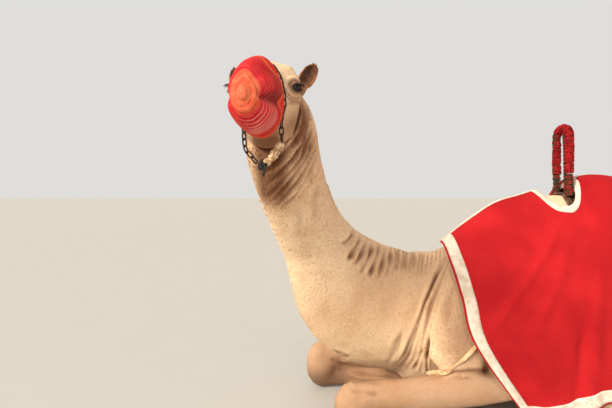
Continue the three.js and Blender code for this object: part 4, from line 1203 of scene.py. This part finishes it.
def chainLink(at, along, out, turn, stretch):
    shape = bmesh.new()
    ring, wire = (chain["width"] - chain["wire"]) / 2, chain["wire"] / 2
    bmesh.ops.create_circle(shape, segments=7, radius=wire)
    bmesh.ops.rotate(shape, verts=shape.verts, matrix=Matrix.Rotation(math.pi / 2, 3, "X"))
    bmesh.ops.translate(shape, verts=shape.verts, vec=(ring, 0, 0))
    bmesh.ops.rotate(shape, verts=shape.verts, matrix=Matrix.Rotation(math.pi / 12, 3, "Z"))
    bmesh.ops.spin(shape, geom=shape.edges[:], axis=(0, 0, 1), angle=2 * math.pi, steps=12, use_merge=True)
    for vert in shape.verts:
        vert.co.x += math.copysign(stretch / 2, vert.co.x)
    bmesh.ops.recalc_face_normals(shape, faces=shape.faces)
    side = along.cross(out).normalized()
    face = along.cross(side)
    place = Matrix((along, side, face)).transposed()
    bmesh.ops.transform(shape, verts=shape.verts, matrix=(place @ Matrix.Rotation(turn, 3, "X")).to_4x4())
    bmesh.ops.translate(shape, verts=shape.verts, vec=at)
    mesh = meshFrom(shape, "link")
    shadeSmooth(mesh)
    return newPiece("link", mesh)


def chainPiece():
    line = fromHead(catmull(nosebandLine(), np.linspace(0, 1, 600)))
    run = runAlong(line)
    pitch = chain["length"] - 2.1 * chain["wire"]
    count = round(run[-1] / pitch)
    pitch = run[-1] / count
    stretch = pitch + 1.9 * chain["wire"] - chain["width"]
    links = []
    random.seed(8)
    for i in range(count):
        at = np.array([np.interp((i + 0.5) * pitch, run, line[:, k]) for k in range(3)])
        ends = [np.array([np.interp((i + s) * pitch, run, line[:, k]) for k in range(3)]) for s in (0, 1)]
        along = Vector(ends[1] - ends[0]).normalized()
        local = toHead(at)
        out = Vector(fromHead([local[0], local[1], local[2]]) - fromHead([local[0], 0, -0.06])).normalized()
        turn = math.radians(chain["tilt"] * (1 if i % 2 else -1) + random.uniform(-9, 9))
        links.append(chainLink(at, along, out, turn, stretch))
    return joined("chain", links)


chainMade = chainPiece()
iron = Finish("chain_iron", Metallic=0.75, Roughness=0.55)
rust = iron.between(iron.noise(120.0, 5.0), 0.42, 0.62)
iron.feed("Base Color", iron.mix(rust, tint("4a423d"), tint("5c2f1c")))
iron.feed("Roughness", iron.between(rust, 0.0, 1.0, 0.42, 0.85))
iron.feed("Metallic", iron.between(rust, 0.0, 1.0, 0.85, 0.25))
iron.feed("Normal", iron.bump(iron.noise(420.0, 3.0), 0.0008, 0.6))
iron.put(chainMade)
finished(chainMade, "chain", "noseband_chain")

cordLine = np.array([(48, 57, -178), (44, 48, -192), (39, 36, -210), (34, 23, -226), (30, 6, -241)]) / 1000


def twistedCord(name, line, strands, radius, strand, turns, bulge):
    fine = fromHead(catmull(line, np.linspace(0, 1, 70)))
    _, side, rise = frames(fine)
    t = np.linspace(0, 1, 70)
    swell = 1 + bulge * np.sin(3.5 * np.pi * t) ** 2
    made = []
    for k in range(strands):
        turn = 2 * np.pi * (turns * t + k / strands)
        reach = (radius * swell)[:, None]
        points = fine + reach * (np.cos(turn)[:, None] * side + np.sin(turn)[:, None] * rise)
        made.append(tube("strand", points, strand * swell, 8))
    return joined(name, made)


def knotLoop(name, at, sizes, cord, lobes=(2, 3), turn=0.0):  # a cord tied round itself
    t = np.linspace(0, 2 * np.pi, 96)
    p, q = lobes
    r = 0.62 + 0.38 * np.cos(q * t)
    points = np.stack([r * np.cos(p * t), r * np.sin(p * t), -0.62 * np.sin(q * t)], 1)
    c, s = math.cos(turn), math.sin(turn)
    points = points @ np.array([[c, 0, -s], [0, 1, 0], [s, 0, c]])
    return tube(name, fromHead(points * np.array(sizes) + at), cord, 9)


yarnCord = joined("halter_yarn", [
    twistedCord("twist", cordLine, 3, 0.0052, 0.0050, 2.6, 0.35),
    knotLoop("loop", np.array([0.044, 0.050, -0.190]), (0.012, 0.013, 0.012), 0.0042, turn=0.6),
    knotLoop("loop", np.array([0.038, 0.034, -0.213]), (0.012, 0.012, 0.012), 0.0040, turn=1.4),
])
creamYarn = Finish("cream_yarn", Roughness=0.92)
fibre = creamYarn.noise(600.0, 3.0)
creamYarn.feed("Base Color", creamYarn.dapple(70.0, 3.0, 0.35, 0.7, "e6c8a0", "a97a55"))
creamYarn.feed("Normal", creamYarn.bump(fibre, 0.0012, 0.8))
creamYarn.put(yarnCord)
finished(yarnCord, "cream_cord", "halter_cord")

knotAt = np.array([0.028, -0.008, -0.250])
knotEnd = np.array([(0, 0.004, 0.006), (0.010, 0.010, -0.006), (0.012, 0.006, -0.022), (0.008, 0.004, -0.034)])
darkKnot = joined("halter_tie", [
    knotLoop("loop", knotAt, (0.0115, 0.0115, 0.018), 0.0052, turn=0.4),
    knotLoop("loop", knotAt + (0, 0.001, 0.004), (0.010, 0.010, 0.013), 0.0048, (3, 2), 1.2),
    tube("end", fromHead(catmull(knotAt + knotEnd, np.linspace(0, 1, 20))), 0.0042, 8),
])
darkCord = Finish("dark_cord", Roughness=0.85)
darkCord.feed("Base Color", darkCord.dapple(90.0, 3.0, 0.35, 0.7, "15120f", "35302b"))
darkCord.feed("Normal", darkCord.bump(darkCord.noise(500.0, 2.0), 0.001, 0.8))
darkCord.put(darkKnot)
finished(darkKnot, "dark_cord", "halter_knot")


# the handle: a bent rod wound with yarn, on a band over the hump

print("handle")
handle = {
    "at": gripAt,
    "top": 1.577,
    "half": 0.052,
    "gripStart": 1.290,
    "foot": 1.150,
    "gripCore": 0.0165,
    "legCore": 0.0135,
    "strand": 0.0038,
}


def handleLine(low, count):  # the middle of the rod, over the top from one side to the other
    arc, crown = handle["half"], handle["top"] - 0.024 - handle["half"]
    bend = [(-arc * math.cos(a), crown + arc * math.sin(a)) for a in np.linspace(0, math.pi, 9)]
    knots = [(-arc, low), (-arc, (low + crown) / 2), *bend, (arc, (low + crown) / 2), (arc, low)]
    points = np.array([(x, handle["at"], z) for x, z in knots])
    return catmull(points, np.linspace(0, 1, count)) + shift


gripLine = handleLine(handle["gripStart"] + 0.003, 160)
gripSizes = handle["gripCore"] * np.array(
    [1.0, 1.06, 1.0, 1.05, 0.94, 0.9, 1.0, 1.06, 1.02, 1.1, 1.12, 1.05, 0.98])
grip = joined("grip_yarn", [
    tube("core", gripLine, handle["gripCore"] * 0.97, 14),
    wound("yarn", gripLine, gripSizes, handle["strand"], 0.0072, rough=0.8, seed=4),
    wound("yarn", gripLine, gripSizes * 1.06, handle["strand"] * 0.85, 0.043, rough=1.0, seed=9, perTurn=22),
    wound("yarn", gripLine[::-1], gripSizes * 1.05, handle["strand"] * 0.85, 0.061, 26, rough=1.0, seed=12),
])
left, _, up = camelFrame(pointsOf(grip.data)).T
dark = smoothly(1.545, 1.52, up) * smoothly(1.44, 1.47, up) * smoothly(-0.028, -0.04, left)
dark = np.maximum(dark, 0.9 * smoothly(1.36, 1.34, up) * smoothly(0.03, 0.05, -left))
storeValue(grip.data, "dark", dark)
redYarn = Finish("red_yarn", Roughness=0.95, Specular_IOR_Level=0.15)
ply = redYarn.noise(520.0, 3.0)
redYarnColour = redYarn.dapple(46.0, 3.0, 0.35, 0.68, "a61c1e", "6c1214")
wisps = redYarn.between(redYarn.noise(150.0, 2.0), 0.5, 0.75, 0.0, 0.5)
redYarnColour = redYarn.mix(wisps, redYarnColour, tint("bc3c36"))
soiled = redYarn.attribute("dark") * redYarn.between(redYarn.noise(60.0), 0.38, 0.5)
redYarn.feed("Base Color", redYarn.mix(soiled, redYarnColour, tint("3f3424")))
redYarn.feed("Normal", redYarn.bump(ply, 0.0015, 0.9))
redYarn.put(grip)
finished(grip, "red_yarn", "handle_grip")

darkYarn = Finish("dark_yarn", Roughness=0.95, Specular_IOR_Level=0.15)
darkYarnColour = darkYarn.dapple(38.0, 2.0, 0.46, 0.56, "3b3a2a", "8d2420")
wisps = darkYarn.between(darkYarn.noise(140.0, 2.0), 0.5, 0.8, 0.0, 0.6)
darkYarn.feed("Base Color", darkYarn.mix(wisps, darkYarnColour, tint("6a6045")))
darkYarn.feed("Normal", darkYarn.bump(darkYarn.noise(520.0, 3.0), 0.0015, 0.9))
legKnots = [(0, 1.2885), (0, 1.255), (0, 1.22), (0.003, 1.19), (0.006, handle["foot"] + 0.012)]
legSizes = handle["legCore"] * np.array([1.0, 1.1, 1.05, 1.15, 1.1])
for name, side in both:
    line = np.array([(side * (handle["half"] + out), handle["at"], z) for out, z in legKnots])
    line = catmull(line, np.linspace(0, 1, 60)) + shift
    leg = joined(f"leg_wrap_{name}", [
        tube("core", line, handle["legCore"], 12),
        wound("yarn", line, legSizes, 0.0036, 0.0068, rough=0.8, seed=20 + side),
    ])
    darkYarn.put(leg)
    finished(leg, "dark_yarn", f"handle_leg_{name}")

tieKnots = [(6, 722, 1530), (10, 722, 1490), (13, 722, 1440), (16, 722, 1330), (17, 722, 1240), (17, 722, 1160)]
tieLine = catmull(np.array(tieKnots) / 1000, np.linspace(0, 1, 160)) + shift


def handleTie():
    _, side, rise = frames(tieLine, (0, 1, 0))
    t = np.linspace(0, 1, 160)
    strands = []
    for k in range(2):
        turn = 2 * np.pi * (13 * t + k / 2)
        points = tieLine + 0.0042 * (np.cos(turn)[:, None] * side + np.sin(turn)[:, None] * rise)
        strands.append(tube("strand", points, 0.0044, 7))
    return joined("tie_cord", strands)


tieCord = handleTie()
darkYarn.put(tieCord)
finished(tieCord, "dark_yarn", "handle_tie")

band = Finish("saddle_band", Roughness=0.6)
scuff = band.between(band.noise(40.0, 5.0), 0.45, 0.65)
band.feed("Base Color", band.mix(scuff, tint("4b3526"), tint("7a5a40")))
band.feed("Roughness", band.between(scuff, 0.0, 1.0, 0.5, 0.8))
band.feed("Normal", band.bump(band.noise(220.0, 4.0), 0.0012, 0.5))
band.put(nodes["saddle_arch"])


# the pad under the rider

print("seat pad")


def seatPad():
    piece = newPiece("seat_cushion", meshFrom(nodeCopy("seat_pad"), "seat_cushion"))
    modify(piece, "REMESH", mode="VOXEL", voxel_size=0.007)
    relax(piece.data, 8, 0.5)
    points, normals = pointsOf(piece.data), normalsOf(piece.data)
    local = camelFrame(points)
    lift = smoothly(1.05, 1.2, local[:, 2])
    seams = np.abs(np.sin(np.pi * (local[:, 0] / 0.075))) ** 0.5  # sewn channels along the back
    points += normals * ((-0.0045 * (1 - seams) - 0.0005) * lift)[:, None]
    setPoints(piece.data, points)
    shadeSmooth(piece.data)
    return piece


cushion = seatPad()
padCloth = Finish("pad_cloth", Roughness=0.9)
padCloth.feed("Base Color", padCloth.dapple(14.0, 3.0, 0.35, 0.7, "a02227", "7d1a1e"))
padCloth.feed("Normal", padCloth.bump(padCloth.noise(380.0, 2.0), 0.001, 0.6))
padCloth.put(cushion)
finished(cushion, "pad_cover", "seat_pad")


# the straps from the front corners of the cloth

print("straps")


straps = {
    "ends": [(0.062, 0.432), (-0.150, 0.250)],  # how far forward and how high
    "footReach": 0.195,  # its lower end goes in behind the foreleg
    "lift": 0.008,
    "width": 0.019,
    "thickness": 0.0022,
    "steps": 44,
}


def strapPiece(name, side):
    ends, count = np.array(straps["ends"]), straps["steps"]
    line = []
    for f in np.linspace(0, 1, count):
        y, z = ends[0] + (ends[1] - ends[0]) * f
        start = np.array([side * 0.9, y, z]) + shift
        hit, normal, _, _ = skinHit(start, np.array([0, y, z]) + shift)
        line.append(np.array(hit) + np.array(normal) * straps["lift"])
    line = np.array(line)
    reach, taut = np.abs(line[:, 0] - shift[0]), []
    reach[3 * count // 4:-1], reach[-1] = 0.0, straps["footReach"]
    for i in range(count):  # pulled tight over what it crosses
        while len(taut) > 1:
            before, last = taut[-2:]
            if (reach[last] - reach[before]) * (i - before) > (reach[i] - reach[before]) * (last - before):
                break
            taut.pop()
        taut.append(i)
    line[:, 0] = shift[0] + side * np.interp(range(count), taut, reach[taut])
    way = unit(np.gradient(line, axis=0))
    out = unit(np.cross(way, np.cross(np.tile((side, 0, 0.2), (count, 1)), way)))
    wide = np.cross(out, way)
    twist = (0.5 * np.sin(np.linspace(0, 9, count)))[:, None]
    wide, out = wide * np.cos(twist) + out * np.sin(twist), out * np.cos(twist) - wide * np.sin(twist)

    def place(u, v):
        row = np.round(v * (count - 1)).astype(int)
        crown = 0.0012 * (1 - (2 * u - 1) ** 2)
        return line[row] + wide[row] * ((u - 0.5) * straps["width"])[:, None] + out[row] * crown[:, None]

    piece = gridPiece(name, 6, count - 1, place, shut=False)
    modify(piece, "SOLIDIFY", thickness=straps["thickness"], offset=0.0)
    shadeSmooth(piece.data)
    return piece


webbing = Finish("webbing", Roughness=0.9)
webbing.feed("Base Color", webbing.dapple(50.0, 3.0, 0.35, 0.7, "e2bf93", "c19566"))
webbing.feed("Normal", webbing.bump(webbing.noise(500.0, 2.0), 0.001, 0.7))
for name, side in both:
    strap = strapPiece(f"girth_{name}", side)
    webbing.put(strap)
    finished(strap, "cream_cord", f"strap_{name}")


# the coat: small tufts all over the skin

print("coat")
limbs = lambda *parts: [f"{part}_{side}" for part in parts for side, _ in both]
coat = {
    "tufts": 19600 // 1,  # in each piece
    "stray": 0.12,  # how far a tuft turns from the lie of the hair, in radians
    "vary": (0.7, 1.3),
    "wide": 0.06,
    "lift": (0.05, 0.11),
}
coatPieces = {  # the nodes under each piece
    "coat_head": ["head", "ear_left", "ear_right"],
    "coat_throat": ["neck_upper", "neck_middle"],
    "coat_neck": ["neck_base"],
    "coat_front": ["trunk_front", *limbs("shoulder")],
    "coat_rear": ["trunk_rear", "hump", "tail", *limbs("thigh")],
    "coat_legs": limbs("forearm", "forefoot", "shank", "hindfoot"),
}
lies = {  # which way the hair lies on each node, and how long it is in metres
    "head": ((0, 1, 0), 0.0065),
    "ear": ((0, 0, 1), 0.0090),
    "neck_upper": (None, 0.0120),
    "neck_middle": (None, 0.0105),
    "neck_base": (None, 0.0100),
    "trunk_front": ((0, 0.9, -0.5), 0.0105),
    "trunk_rear": ((0, 0.9, -0.5), 0.0180),
    "hump": ((0, 0.7, 0.2), 0.0260),
    "shoulder": ((0, 0.25, -1), 0.0100),
    "forearm": ((0, -1, -0.3), 0.0085),
    "forefoot": ((0, 1, 0), 0.0075),
    "thigh": ((0, 0.3, -1), 0.0120),
    "shank": ((0, 1, -0.3), 0.0110),
    "hindfoot": ((0, -1, 0), 0.0075),
    "tail": ((0, 0.3, -1), 0.0150),
}
fleshNames = flesh["body"] + flesh["head"]


def fleshTree():  # the nodes as one set of faces, to see which node is near
    corners, faces, owner = [], [], []
    for number, name in enumerate(fleshNames):
        mesh = nodes[name].data
        faces += [[i + len(corners) for i in face.vertices] for face in mesh.polygons]
        owner += [number] * len(mesh.polygons)
        corners += [vert.co for vert in mesh.vertices]
    return BVHTree.FromPolygons(corners, faces), np.array(owner)


def spread(mesh, values, rounds):  # evens out values over the mesh
    count = len(mesh.vertices)
    heads, tails, share = neighbours(mesh)
    values = values.reshape(count, -1).copy()
    for _ in range(rounds):
        mean = np.stack([np.bincount(heads, values[tails, k], count) for k in range(values.shape[1])], 1)
        values = 0.4 * values + 0.6 * mean * share[:, None]
    return values


def groomSkin(mesh):  # each point's node, the hair's lie and length there, and where it is covered
    points, normals = pointsOf(mesh), normalsOf(mesh)
    tree, owners = fleshTree()
    owner = owners[[tree.find_nearest(Vector(p))[2] for p in points]]
    lie, long = np.zeros((len(points), 3)), np.zeros(len(points))
    _, ways, _, _ = alongNeck(camelFrame(points))
    for number, name in enumerate(fleshNames):
        way, size = lies.get(name) or lies[name.rsplit("_", 1)[0]]
        here = owner == number
        lie[here] = -ways[here] if way is None else way
        long[here] = size
    face = toHead(points)
    onHead = owner == fleshNames.index("head")
    side = np.sign(face[:, 1])
    swept = np.stack([np.full(len(face), -1.0), 0.35 * side, -0.35 * smoothly(0.0, -0.1, face[:, 2])], 1)
    lie[onHead] = (swept @ headTurnRows.T)[onHead]
    long[onHead] *= (0.55 + 1.0 * smoothly(0.02, -0.14, face[:, 0]))[onHead]
    for name, side in both:
        at, rows = earFrame(name, side)
        onEar = owner == fleshNames.index(f"ear_{name}")
        lie[onEar] = (rows @ (0, 0, 1)) @ headTurnRows.T
        at, _ = eyeFrame(side)
        long *= 1 - 0.55 * np.exp(-((np.linalg.norm(face - at, axis=1) / 0.04) ** 4))
    lie, long = spread(mesh, lie, 26), spread(mesh, long, 14)[:, 0]
    lie = unit(lie - normals * (lie * normals).sum(1)[:, None], 1e-6)
    covered = smoothly(0.082, 0.090, face[:, 0]) * (np.linalg.norm(face, axis=1) < 0.5)
    for i in np.flatnonzero(camelFrame(points)[:, 1] > -0.1):
        start = Vector(points[i]) + Vector(normals[i]) * 0.002
        if clothTree.ray_cast(start, Vector(normals[i]), 0.16)[0]:
            covered[i] = 1
    return owner, lie, long, covered


def flatCopy(source):  # a lighter copy of the skin, laid out flat
    piece = newPiece("layout", source.data.copy())
    modify(piece, "DECIMATE", ratio=0.08)
    modify(piece, "TRIANGULATE")
    bpy.context.view_layer.objects.active = piece
    piece.select_set(True)
    bpy.ops.object.mode_set(mode="EDIT")
    bpy.ops.mesh.select_all(action="SELECT")
    bpy.ops.uv.smart_project(angle_limit=math.radians(66), island_margin=0.003)
    bpy.ops.object.mode_set(mode="OBJECT")
    mesh = piece.data
    ends = readAll(mesh.loops, "vertex_index", 1, np.int32)
    flat = readAll(mesh.uv_layers.active.data, "uv", 2)
    tree = BVHTree.FromObject(piece, bpy.context.evaluated_depsgraph_get())
    return piece, tree, pointsOf(mesh)[ends.reshape(-1, 3)], flat.reshape(-1, 3, 2)


def shares(points, corners):  # how much of each corner of its triangle a point has
    a, b, p = corners[:, 1] - corners[:, 0], corners[:, 2] - corners[:, 0], points - corners[:, 0]
    aa, ab, bb, ap, bp = (a * a).sum(1), (a * b).sum(1), (b * b).sum(1), (a * p).sum(1), (b * p).sum(1)
    low = np.maximum(aa * bb - ab * ab, 1e-16)
    v, w = np.clip((bb * ap - ab * bp) / low, 0, 1), np.clip((aa * bp - ab * ap) / low, 0, 1)
    return np.stack([1 - v - w, v, w], 1)


def tuftForm():  # one tuft along X: three sides, a waist and a point
    shape = bmesh.new()
    bmesh.ops.create_cone(shape, cap_ends=True, segments=3, radius1=1, radius2=0, depth=1)
    sides = [edge for edge in shape.edges if abs(edge.verts[0].co.z - edge.verts[1].co.z) > 0.5]
    bmesh.ops.subdivide_edges(shape, edges=sides, cuts=1)
    bmesh.ops.recalc_face_normals(shape, faces=shape.faces)
    mesh = meshFrom(shape, "tuft")
    points = pointsOf(mesh)
    size = np.hypot(points[:, 0], points[:, 1])
    turn = np.arctan2(points[:, 1], points[:, 0])
    along = points[:, 2] + 0.5
    taper = np.where(size < 1e-4, 0, np.where(along > 0.3, 0.95, 0.72))
    faces = [list(face.vertices) for face in mesh.polygons]
    bpy.data.meshes.remove(mesh)
    return along, np.cos(turn) * taper, np.sin(turn) * taper, faces


along, wideness, thickness, tuftFaces = tuftForm()


def tuftPiece(name, roots, lie, normals, long, wide, lift, flat, marks):  # tufts joined into one mesh
    count, per = len(roots), len(along)
    side = np.cross(normals, lie)
    rise = -0.0005 + long[:, None] * lift[:, None] * np.sin(along * 2.0)
    points = roots[:, None] + (long[:, None] * along)[..., None] * lie[:, None]
    points += (rise + (0.34 * wide[:, None]) * thickness)[..., None] * normals[:, None]
    points += (wide[:, None] * wideness)[..., None] * side[:, None]
    corners = np.concatenate([np.array(face) for face in tuftFaces])
    sizes = np.array([len(face) for face in tuftFaces])
    mesh = bpy.data.meshes.new(name)
    mesh.vertices.add(count * per)
    mesh.vertices.foreach_set("co", points.astype(np.float32).ravel())
    mesh.loops.add(count * len(corners))
    corner = corners[None] + per * np.arange(count)[:, None]
    mesh.loops.foreach_set("vertex_index", corner.astype(np.int32).ravel())
    mesh.polygons.add(count * len(sizes))
    starts = np.r_[0, np.cumsum(sizes)[:-1]][None] + len(corners) * np.arange(count)[:, None]
    mesh.polygons.foreach_set("loop_start", starts.astype(np.int32).ravel())
    layer = mesh.uv_layers.new(name="OFBake")
    patch = np.stack([wideness, 2 * along - 1], 1)[corners] * 0.0015
    layer.data.foreach_set("uv", (flat[:, None] + patch[None]).astype(np.float32).ravel())
    mesh.update(calc_edges=True)
    mesh.validate()
    for key, values in marks.items():
        storeValue(mesh, key, np.repeat(values, per))
    storeValue(mesh, "tip", np.tile(along, count))
    return newPiece(name, mesh)


def growCoat():
    mesh = skin.data
    owner, lie, long, covered = groomSkin(mesh)
    points, normals = pointsOf(mesh), normalsOf(mesh)
    # the hide's markings, painted shade included, for the tufts over it
    marks = {key: valueOf(mesh, key) for key in ("brown", "pale", "bare", "red", "fold")}
    mesh.calc_loop_triangles()
    triangles = readAll(mesh.loop_triangles, "vertices", 3, np.int32)
    a, b, c = points[triangles].transpose(1, 0, 2)
    area = np.linalg.norm(np.cross(b - a, c - a), axis=1) / 2
    growing = (1 - smoothly(0.25, 0.6, marks["bare"])) * (1 - covered) / np.maximum(long, 0.006) ** 1.1
    layout, tree, flatCorners, flatPlaces = flatCopy(skin)
    rng = np.random.default_rng(11)
    made = []
    count = coat["tufts"]
    for name, under in coatPieces.items():
        wanted = np.isin(owner, [fleshNames.index(node) for node in under])
        weight = area * (growing * wanted)[triangles].mean(1)
        chosen = triangles[rng.choice(len(triangles), count, p=weight / weight.sum())]
        u, v = rng.random((2, count))
        flip = u + v > 1
        u, v = np.where(flip, 1 - u, u), np.where(flip, 1 - v, v)
        part = np.stack([1 - u - v, u, v], 1)
        mean = lambda values: (values[chosen] * part.reshape(count, 3, *[1] * (values.ndim - 1))).sum(1)
        roots, out, way = mean(points), mean(normals), mean(lie)
        out = unit(out)
        way = unit(way - out * (way * out).sum(1)[:, None], 1e-6)
        turn = rng.normal(0, coat["stray"], count)[:, None]
        way = way * np.cos(turn) + np.cross(out, way) * np.sin(turn)
        size = mean(long) * rng.uniform(*coat["vary"], count)
        wide = 0.0005 + size * coat["wide"]
        lift = rng.uniform(*coat["lift"], count)
        near = [tree.find_nearest(Vector(root)) for root in roots]
        index = np.array([hit[2] for hit in near])
        spots = np.array([hit[0] for hit in near])
        flat = (flatPlaces[index] * shares(spots, flatCorners[index])[..., None]).sum(1)
        here = {key: mean(values) for key, values in marks.items()}
        made.append(tuftPiece(name, roots, way, out, size, wide, lift, flat, here))
    bpy.data.objects.remove(layout)
    return made


coatHair = Finish("coat", Roughness=0.85, Specular_IOR_Level=0.2)
fur = furColour(coatHair)
fur = coatHair.mix(coatHair.attribute("tip") * 0.28, fur, tint("f4d3a8"), "SOFT_LIGHT")
coatHair.feed("Base Color", fur)
for piece in growCoat():
    coatHair.put(piece)
    finished(piece, "hide")
    print(piece.name, len(piece.data.polygons))


# the end of the tail

print("tail")


locks = {"count": 900, "root": 0.012, "wide": 0.0024, "lift": 0.02, "long": (0.07, 0.13)}


def tailHair():
    count = locks["count"]
    rng = np.random.default_rng(5)
    old = nodes["tail_tuft"]
    points = pointsOf(old.data)
    low, high = points[:, 2].min(), points[:, 2].max()
    t = rng.random(count) ** 0.8
    z = high - (high - low) * 0.55 * t
    turn = rng.uniform(0, 2 * np.pi, count)
    near = [points[np.abs(points[:, 2] - level) < 0.05].mean(0) for level in np.linspace(low, high, 12)]
    centre = np.stack([np.interp(z, np.linspace(low, high, 12), [n[k] for n in near]) for k in range(2)], 1)
    out = np.stack([np.cos(turn), np.sin(turn), np.zeros(count)], 1)
    roots = np.concatenate([centre, z[:, None]], 1) + out * locks["root"]
    way = unit(out * rng.uniform(0.05, 0.30, count)[:, None] + (0, 0, -1))
    normals = unit(out - way * (out * way).sum(1)[:, None])
    long = np.minimum(rng.uniform(*locks["long"], count), z - low + 0.01)
    flat = 0.005 + 0.99 * np.stack([turn / (2 * np.pi), (z - low) / (high - low)], 1)  # round and along
    wide, lift = np.full(count, locks["wide"]), np.full(count, locks["lift"])
    return tuftPiece("tail_locks", roots, way, normals, long, wide, lift, flat, {})


tailLocks = tailHair()
hairFinish = Finish("tail_hair", Roughness=0.6)
hairFinish.feed("Base Color", hairFinish.dapple(60.0, 3.0, 0.35, 0.7, "3a2417", "6e4a30"))
hairFinish.put(tailLocks, nodes["tail_tuft"])
finished(tailLocks, "hair")


# floor and light

print("floor and light")

def stagePlane(name, size, at):
    shape = bmesh.new()
    bmesh.ops.create_grid(shape, x_segments=1, y_segments=1, size=size)
    bmesh.ops.translate(shape, vec=at, verts=shape.verts)
    return newPiece(name, meshFrom(shape, name))


floor = stagePlane("floor", 300.0, (0, 0, -0.001))
pale = Finish("floor", Roughness=0.9)
pale.feed("Base Color", pale.mix(
    pale.between(pale.noise(3.0), 0.4, 0.6, 0.0, 0.1), tint("bcb8b0"), tint("b2ada5")))
pale.put(floor)

light = {
    "sky": 0.82,
    "sun": 4.2,
    "spread": 18,
    "sunFrom": (0.56, -0.76, 0.58),
    "fillAt": (5.5, 1.0, 3.4),
    "fill": 70,
}
scene.view_settings.view_transform = "Standard"
world = bpy.data.worlds.new("world")
scene.world = world
world.use_nodes = True
sky = world.node_tree.nodes["Background"].inputs
sky[0].default_value, sky[1].default_value = tint("f4f2ee"), light["sky"]


def addLight(name, kind, colour, **settings):
    data = bpy.data.lights.new(name, kind)
    data.color = tint(colour)[:3]
    for key, value in settings.items():
        setattr(data, key, value)
    lamp = bpy.data.objects.new(name, data)
    scene.collection.objects.link(lamp)
    return lamp


sun = addLight("key", "SUN", "fff6e8", energy=light["sun"], angle=math.radians(light["spread"]))
sun.rotation_euler = Vector(light["sunFrom"]).to_track_quat("Z", "Y").to_euler()
fill = addLight("fill", "AREA", "fff8f0", shape="DISK", size=4.0, energy=light["fill"])
fill.location = light["fillAt"]
fill.rotation_euler = (Vector((0, 0, 0.8)) - fill.location).to_track_quat("-Z", "Y").to_euler()
